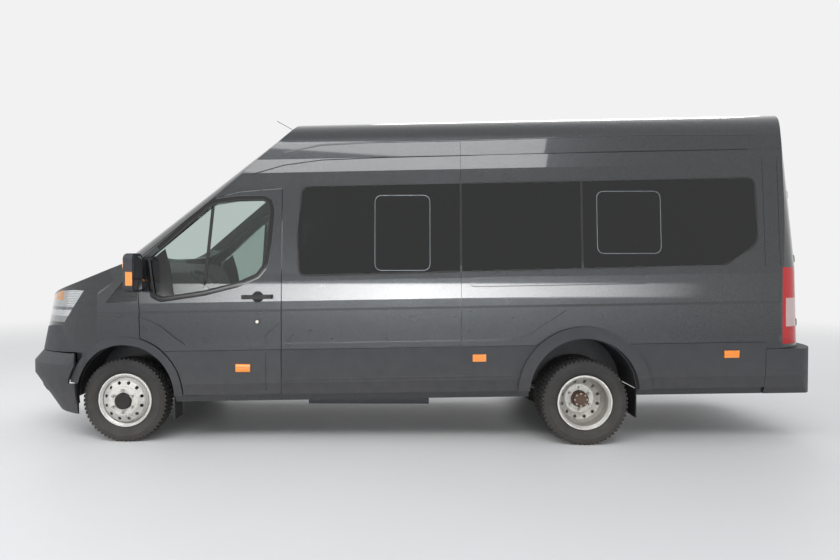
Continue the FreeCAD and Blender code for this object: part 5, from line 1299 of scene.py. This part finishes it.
@dataclass
class Seats:
    """Padded seats: cushions and backs puffed by cloth pressure, with seams sunk in afterwards."""

    shop: Workshop
    voxel: float = 13.0
    cap: float = 14.0
    pressure: float = 4.0
    frames: int = 20
    shrink: float = 9.0
    seam_depth: float = 7.0
    seam_width: float = 9.0
    # Half of the middle panel's width, and the places of the seams across it, in metres.
    panel_half: float = 0.125
    cushion_seams: tuple[float, float] = (0.12, 0.27)
    head_seam: float = 0.56
    back_seams: tuple[float, float] = (0.22, 0.39)
    back_height: float = 0.760
    back_depth: float = 0.090
    back_lean: float = 12.0

    def islands(self, node: str) -> list[tuple[Vector, Vector]]:
        """Corners of each solid in a node, by its loose parts."""
        shape = bmesh.new()
        shape.from_mesh(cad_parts[node].data)
        bmesh.ops.remove_doubles(shape, verts=shape.verts, dist=1e-5)
        seen: set[int] = set()
        boxes = []
        for vertex in shape.verts:
            if vertex.index in seen:
                continue
            group, queue = [], [vertex]
            seen.add(vertex.index)
            while queue:
                here = queue.pop()
                group.append(here.co.copy())
                for edge in here.link_edges:
                    other = edge.other_vert(here)
                    if other.index not in seen:
                        seen.add(other.index)
                        queue.append(other)
            low = Vector([min(p[k] for p in group) for k in range(3)])
            high = Vector([max(p[k] for p in group) for k in range(3)])
            boxes.append((low, high))
        shape.free()
        return boxes

    def pad(self, name: str, size: Vector, outline: Callable[[float, float], Vector]) -> bpy.types.Object:
        """Smooth padded block about its own corner, before any seam."""
        shape = bmesh.new()
        bmesh.ops.create_cube(shape, size=1.0)
        bmesh.ops.subdivide_edges(shape, edges=shape.edges, cuts=11, use_grid_fill=True)
        for vertex in shape.verts:
            unit = vertex.co + Vector((0.5, 0.5, 0.5))
            vertex.co = outline(unit, size)
        mesh = bpy.data.meshes.new(name)
        shape.to_mesh(mesh)
        shape.free()
        mesh.materials.append(self.shop.finishes.cloth)
        return linked(name, mesh)

    def puff(self, piece: bpy.types.Object) -> None:
        """Remeshes the pad and swells it by cloth pressure, each point by no more than the cap."""
        remesh = piece.modifiers.new("voxels", "REMESH")
        remesh.mode = "VOXEL"
        remesh.voxel_size = self.voxel * MM
        graph = bpy.context.evaluated_depsgraph_get()
        piece.data = bpy.data.meshes.new_from_object(piece.evaluated_get(graph))
        piece.modifiers.clear()
        rest = [v.co.copy() for v in piece.data.vertices]
        cloth = piece.modifiers.new("puff", "CLOTH")
        cloth.settings.use_pressure = True
        cloth.settings.uniform_pressure_force = self.pressure
        cloth.settings.effector_weights.gravity = 0.0
        cloth.point_cache.frame_end = self.frames
        scene = bpy.context.scene
        for tick in range(1, self.frames + 1):
            scene.frame_set(tick)
        swollen = piece.evaluated_get(bpy.context.evaluated_depsgraph_get()).data
        moved = [v.co.copy() for v in swollen.vertices]
        piece.modifiers.clear()
        limit = self.cap * MM
        for vertex, start, end in zip(piece.data.vertices, rest, moved):
            step = end - start
            vertex.co = start + (step if step.length < limit else step.normalized() * limit)
        scene.frame_set(1)

    def sink(self, piece: bpy.types.Object, lines: Sequence[Callable[[Vector], float]]) -> None:
        """Presses seams into a pad; each line gives a point's distance from it in metres."""
        width = self.seam_width * MM
        normals = [v.normal.copy() for v in piece.data.vertices]
        for vertex, normal in zip(piece.data.vertices, normals):
            near = min(abs(line(vertex.co)) for line in lines)
            vertex.co -= normal * self.seam_depth * MM * math.exp(-(near / width) ** 2)

    def spread(self, name: str, master: bpy.types.Object, corners: Sequence[Vector], node: str) -> None:
        """Copies of the master pad at each corner, as one padded piece."""
        copies = [linked(f"{name}_{i}", master.data.copy()) for i in range(len(corners))]
        for copy, corner in zip(copies, corners):
            copy.data.transform(Matrix.Translation(corner))
        bpy.data.objects.remove(master)
        bpy.context.view_layer.update()
        whole = joined(name, copies)
        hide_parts(node)
        self.shop.seat(whole, "body", "seat_cloth")

    def cushions(self) -> None:
        """All seat cushions."""
        boxes = self.islands("seat_cushions")
        size = boxes[0][1] - boxes[0][0]
        edge = self.shrink * MM

        def shape(unit: Vector, size: Vector) -> Vector:
            """Cushion with side rolls and a rounded front."""
            inside = Vector((edge + unit.x * (size.x - 2 * edge), edge + unit.y * (size.y - 2 * edge),
                             unit.z * (size.z - edge)))
            roll = abs(unit.y - 0.5) * 2
            inside.z -= unit.z * 0.012 * (1 - roll ** 3)
            inside.z -= unit.z * 0.028 * max(0.0, 1 - unit.x / 0.16) ** 2
            return inside

        pad = self.pad("cushion_master", size, shape)
        self.puff(pad)
        middle = size.y / 2
        half, (first, second) = self.panel_half, self.cushion_seams
        lines = [lambda p: abs(p.y - middle) - half, lambda p: p.x - first if abs(p.y - middle) < half else 1.0,
                 lambda p: p.x - second if abs(p.y - middle) < half else 1.0]
        self.sink(pad, lines)
        self.spread("seat_cushion_pads", pad, [low for low, _ in boxes], "seat_cushions")

    def backs(self) -> None:
        """All seat backs, each with its head rest in one form."""
        boxes = self.islands("seat_backs")
        lean = math.radians(self.back_lean)
        height, depth, width = self.back_height, self.back_depth, boxes[0][1].y - boxes[0][0].y
        edge = self.shrink * MM

        def shape(unit: Vector, size: Vector) -> Vector:
            """Upright back, waisted under the head rest."""
            waist = 1 - 0.16 * math.exp(-((unit.z - 0.76) / 0.05) ** 2) - 0.22 * max(0.0, unit.z - 0.76) / 0.24
            across = (unit.y - 0.5) * (size.y - 2 * edge) * waist + size.y / 2
            dish = 0.010 * (1 - (abs(unit.y - 0.5) * 2) ** 2) if unit.z < 0.7 else 0.0
            return Vector((edge + unit.x * (size.x - 2 * edge) + dish * (1 - unit.x), across,
                           0.004 + unit.z * (size.z - edge)))

        pad = self.pad("back_master", Vector((depth, width, height)), shape)
        self.puff(pad)
        middle = width / 2
        half, head, (first, second) = self.panel_half, self.head_seam, self.back_seams
        lines = [lambda p: abs(p.y - middle) - half if p.z < head else 1.0, lambda p: p.z - head,
                 lambda p: p.z - first if abs(p.y - middle) < half else 1.0,
                 lambda p: p.z - second if abs(p.y - middle) < half else 1.0]
        self.sink(pad, lines)
        pad.data.transform(Matrix.Rotation(lean, 4, "Y"))
        drop = depth * math.sin(lean)
        self.spread("seat_back_pads", pad, [low + Vector((0, 0, drop)) for low, _ in boxes], "seat_backs")

    def build(self) -> None:
        """Cushions and backs."""
        self.cushions()
        self.backs()


@dataclass
class Cab:
    """Air outlets and centre screen on the dashboard."""

    shop: Workshop
    inside_x: float = 900.0
    outlet_ys: tuple[float, ...] = (-760.0, -100.0, 100.0, 760.0)
    outlet_z: float = 1150.0
    outlet_radius: float = 42.0
    screen_z: float = 1060.0
    screen_height: float = 110.0

    def build(self) -> None:
        """Details of the dashboard."""
        finishes = self.shop.finishes
        skin = Skin(["dashboard"])
        pieces = []
        for y in self.outlet_ys:
            spot, normal = skin.look(place(self.inside_x, y, self.outlet_z), Vector((-1, 0, 0)))
            ring = [(spot - normal * 0.003, Vector((0, 0, 1))), (spot + normal * 0.006, Vector((0, 0, 1)))]
            pieces.append(sweep("air_outlet", ring, round_bead(self.outlet_radius, 24), finishes.acrylic))
        spot, normal = skin.look(place(self.inside_x, 0.0, self.screen_z), Vector((-1, 0, 0)))
        ring = [(spot + Vector((0, y, 0)), normal) for y in (-0.09, -0.03, 0.03, 0.09)]
        pieces.append(sweep("centre_screen", ring, flat_bead(self.screen_height, 10.0, 4.0), finishes.acrylic))
        self.shop.seat(joined("dashboard_details", pieces), "body", "interior_plastic")


def dress_nodes(finishes: Finishes) -> None:
    """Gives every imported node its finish."""
    groups: list[tuple[bpy.types.Material, Sequence[str]]] = [
        (finishes.enamel, ("cab_frame", "side_wall_left", "side_wall_right", "sliding_door", "roof_panel",
                           "front_wings", "bonnet", "front_door_left", "front_door_right", "rear_door_left",
                           "rear_door_right")),
        (finishes.polypropylene, ("front_bumper", "rear_bumper", "radiator_grille", "side_cladding", "mirror_left",
                                  "mirror_right", "wheel_housings")),
        (finishes.door_trim, ("front_door_trim_left", "front_door_trim_right")),
        (finishes.privacy, ("side_glass_left", "side_glass_right", "rear_door_glass_left", "rear_door_glass_right")),
        (finishes.screen, ("windscreen", "front_door_glass_left", "front_door_glass_right")),
        (finishes.headlamp, ("headlamps",)), (finishes.tail_lamp, ("tail_lamps",)),
        (finishes.amber, ("side_markers",)),
        (finishes.seal, ("mud_flaps",)), (finishes.cabin_plastic, ("dashboard", "steering_wheel", "fuel_tank")),
        (finishes.wax, ("floor_pan", "chassis_frame", "seat_frames", "leaf_springs", "front_suspension")),
        (finishes.iron, ("engine_block", "driveline", "knuckle_left", "knuckle_right")),
        (finishes.aluminium, ("radiator",)), (finishes.stainless, ("exhaust_line",)),
        (finishes.front_wheel, ("front_rim_left", "front_rim_right")),
        (finishes.rear_wheel, ("rear_rims_left", "rear_rims_right")),
        (finishes.tyre, ("front_tyre_left", "front_tyre_right", "rear_tyres_left", "rear_tyres_right")),
        (finishes.cloth, ("seat_cushions", "seat_backs")),
    ]
    for material, names in groups:
        for name in names:
            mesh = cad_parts[name].data
            mesh.materials.clear()
            mesh.materials.append(material)


@dataclass
class Studio:
    """Plain pale floor, soft lamps and the photograph's camera."""

    floor_half: float = 60.0
    # Name, place, aim, size, power and spread in degrees of each lamp.
    lamps: tuple[tuple[str, tuple[float, float, float], tuple[float, float, float], Point, float, float], ...] = (
        ("key_lamp", (-1.0, -7.0, 7.5), (0.0, 0.0, 1.2), (8.0, 3.0), 420.0, 180.0),
        ("fill_lamp", (-8.0, -3.0, 5.0), (-2.0, 0.0, 1.0), (4.0, 4.0), 180.0, 180.0),
        ("back_lamp", (3.0, 7.0, 7.0), (0.0, 0.0, 1.5), (8.0, 3.0), 240.0, 180.0),
        ("low_lamp", (0.0, -9.0, 1.3), (0.0, 0.0, 1.1), (18.0, 0.9), 70.0, 50.0))

    def floor(self) -> None:
        """Pale floor, which isn't part of the vehicle."""
        finish = Finish("pale_floor", "dedede", "dadada", 900.0, 0.5, 0.1).make()
        self.fade(finish)
        half = self.floor_half
        corners = [Vector((x, y, -0.0005)) for x, y in ((-half, -half), (half, -half), (half, half), (-half, half))]
        mesh_object("studio_floor", corners, [[0, 1, 2, 3]], finish)

    def fade(self, material: bpy.types.Material) -> None:
        """Lets the far floor run into the white background, for what the eye sees only."""
        tree = material.node_tree
        where = add(tree, "ShaderNodeTexCoord").outputs["Object"]
        far = add(tree, "ShaderNodeVectorMath", {0: where}, operation="LENGTH").outputs["Value"]
        share = add(tree, "ShaderNodeMapRange", {0: far, 1: 5.0, 2: 17.0, 3: 0.0, 4: 1.0},
                    interpolation_type="SMOOTHSTEP").outputs[0]
        seen = self.seen(tree)
        part = number(tree, "MULTIPLY", share, seen)
        glow = add(tree, "ShaderNodeEmission", {"Color": linear("f2f2f2"), "Strength": 1.0}).outputs[0]
        mix = add(tree, "ShaderNodeMixShader", {0: part, 1: tree.nodes["Principled BSDF"].outputs[0], 2: glow})
        tree.links.new(mix.outputs[0], tree.nodes["Material Output"].inputs[0])

    def seen(self, tree: bpy.types.NodeTree) -> bpy.types.NodeSocket:
        """One for what the camera, gloss and glass see, and nothing for light."""
        path = add(tree, "ShaderNodeLightPath")
        first = number(tree, "MAXIMUM", path.outputs["Is Camera Ray"], path.outputs["Is Transmission Ray"])
        return number(tree, "MAXIMUM", first, path.outputs["Is Glossy Ray"])

    def world(self) -> None:
        """White where the camera, gloss and glass see it, and softer as a light."""
        world = bpy.data.worlds.new("studio_world")
        bpy.context.scene.world = world
        world.use_nodes = True
        tree = world.node_tree
        tree.nodes.clear()
        light = add(tree, "ShaderNodeBackground", {"Color": linear("e6e9ee"), "Strength": 0.75})
        back = add(tree, "ShaderNodeBackground", {"Color": linear("f2f2f2"), "Strength": 1.0})
        mix = add(tree, "ShaderNodeMixShader", {0: self.seen(tree), 1: light.outputs[0], 2: back.outputs[0]})
        add(tree, "ShaderNodeOutputWorld", {0: mix.outputs[0]})

    def lamp(self, name: str, spot: tuple[float, float, float], aim: tuple[float, float, float], size: Point,
             power: float, spread: float) -> None:
        """Soft rectangular lamp with its light within an angle."""
        data = bpy.data.lights.new(name, "AREA")
        data.shape = "RECTANGLE"
        data.size, data.size_y = size
        data.energy = power
        data.spread = math.radians(spread)
        lamp = linked(name, data)
        lamp.location = spot
        lamp.rotation_euler = (Vector(aim) - Vector(spot)).to_track_quat("-Z", "Y").to_euler()
        lamp.visible_camera = False

    def camera(self) -> None:
        """Camera fitted to the photograph."""
        data = bpy.data.cameras.new("photo_camera")
        data.sensor_width = SENSOR
        data.lens = SENSOR * FOCAL_PIXELS / PHOTO_WIDTH
        data.shift_x = (PHOTO_WIDTH / 2 - CENTRE_PIXEL[0]) / PHOTO_WIDTH
        data.shift_y = (CENTRE_PIXEL[1] - PHOTO_HEIGHT / 2) / PHOTO_WIDTH
        data.clip_end = 500.0
        camera = linked("photo_camera", data)
        turn = Matrix.Rotation(math.radians(YAW), 3, "Z") @ Matrix.Rotation(math.radians(PITCH), 3, "X")
        turn = turn @ Matrix.Rotation(math.radians(ROLL), 3, "Y")
        right, ahead, up = turn.col[0], turn.col[1], turn.col[2]
        basis = Matrix((right, up, -ahead)).transposed().to_4x4()
        camera.matrix_world = Matrix.Translation(place(*EYE)) @ basis
        bpy.context.scene.camera = camera

    def build(self) -> None:
        """Whole studio."""
        self.floor()
        self.world()
        for values in self.lamps:
            self.lamp(*values)
        self.camera()
        bpy.context.scene.view_settings.view_transform = "Standard"


def main() -> None:
    """Builds every sub-assembly in order."""
    logging.basicConfig(level=logging.INFO, format="%(name)s: %(message)s")
    Studio().build()
    shop = Workshop(Finishes(), Repeats())
    dress_nodes(shop.finishes)
    for part in (Tyres(shop), Hubs(shop), SideGlazing(shop), BodyLines(shop), CabDoors(shop), FrontEnd(shop),
                 RearEnd(shop), Seats(shop), Cab(shop)):
        part.build()


if __name__ == "__main__":
    main()
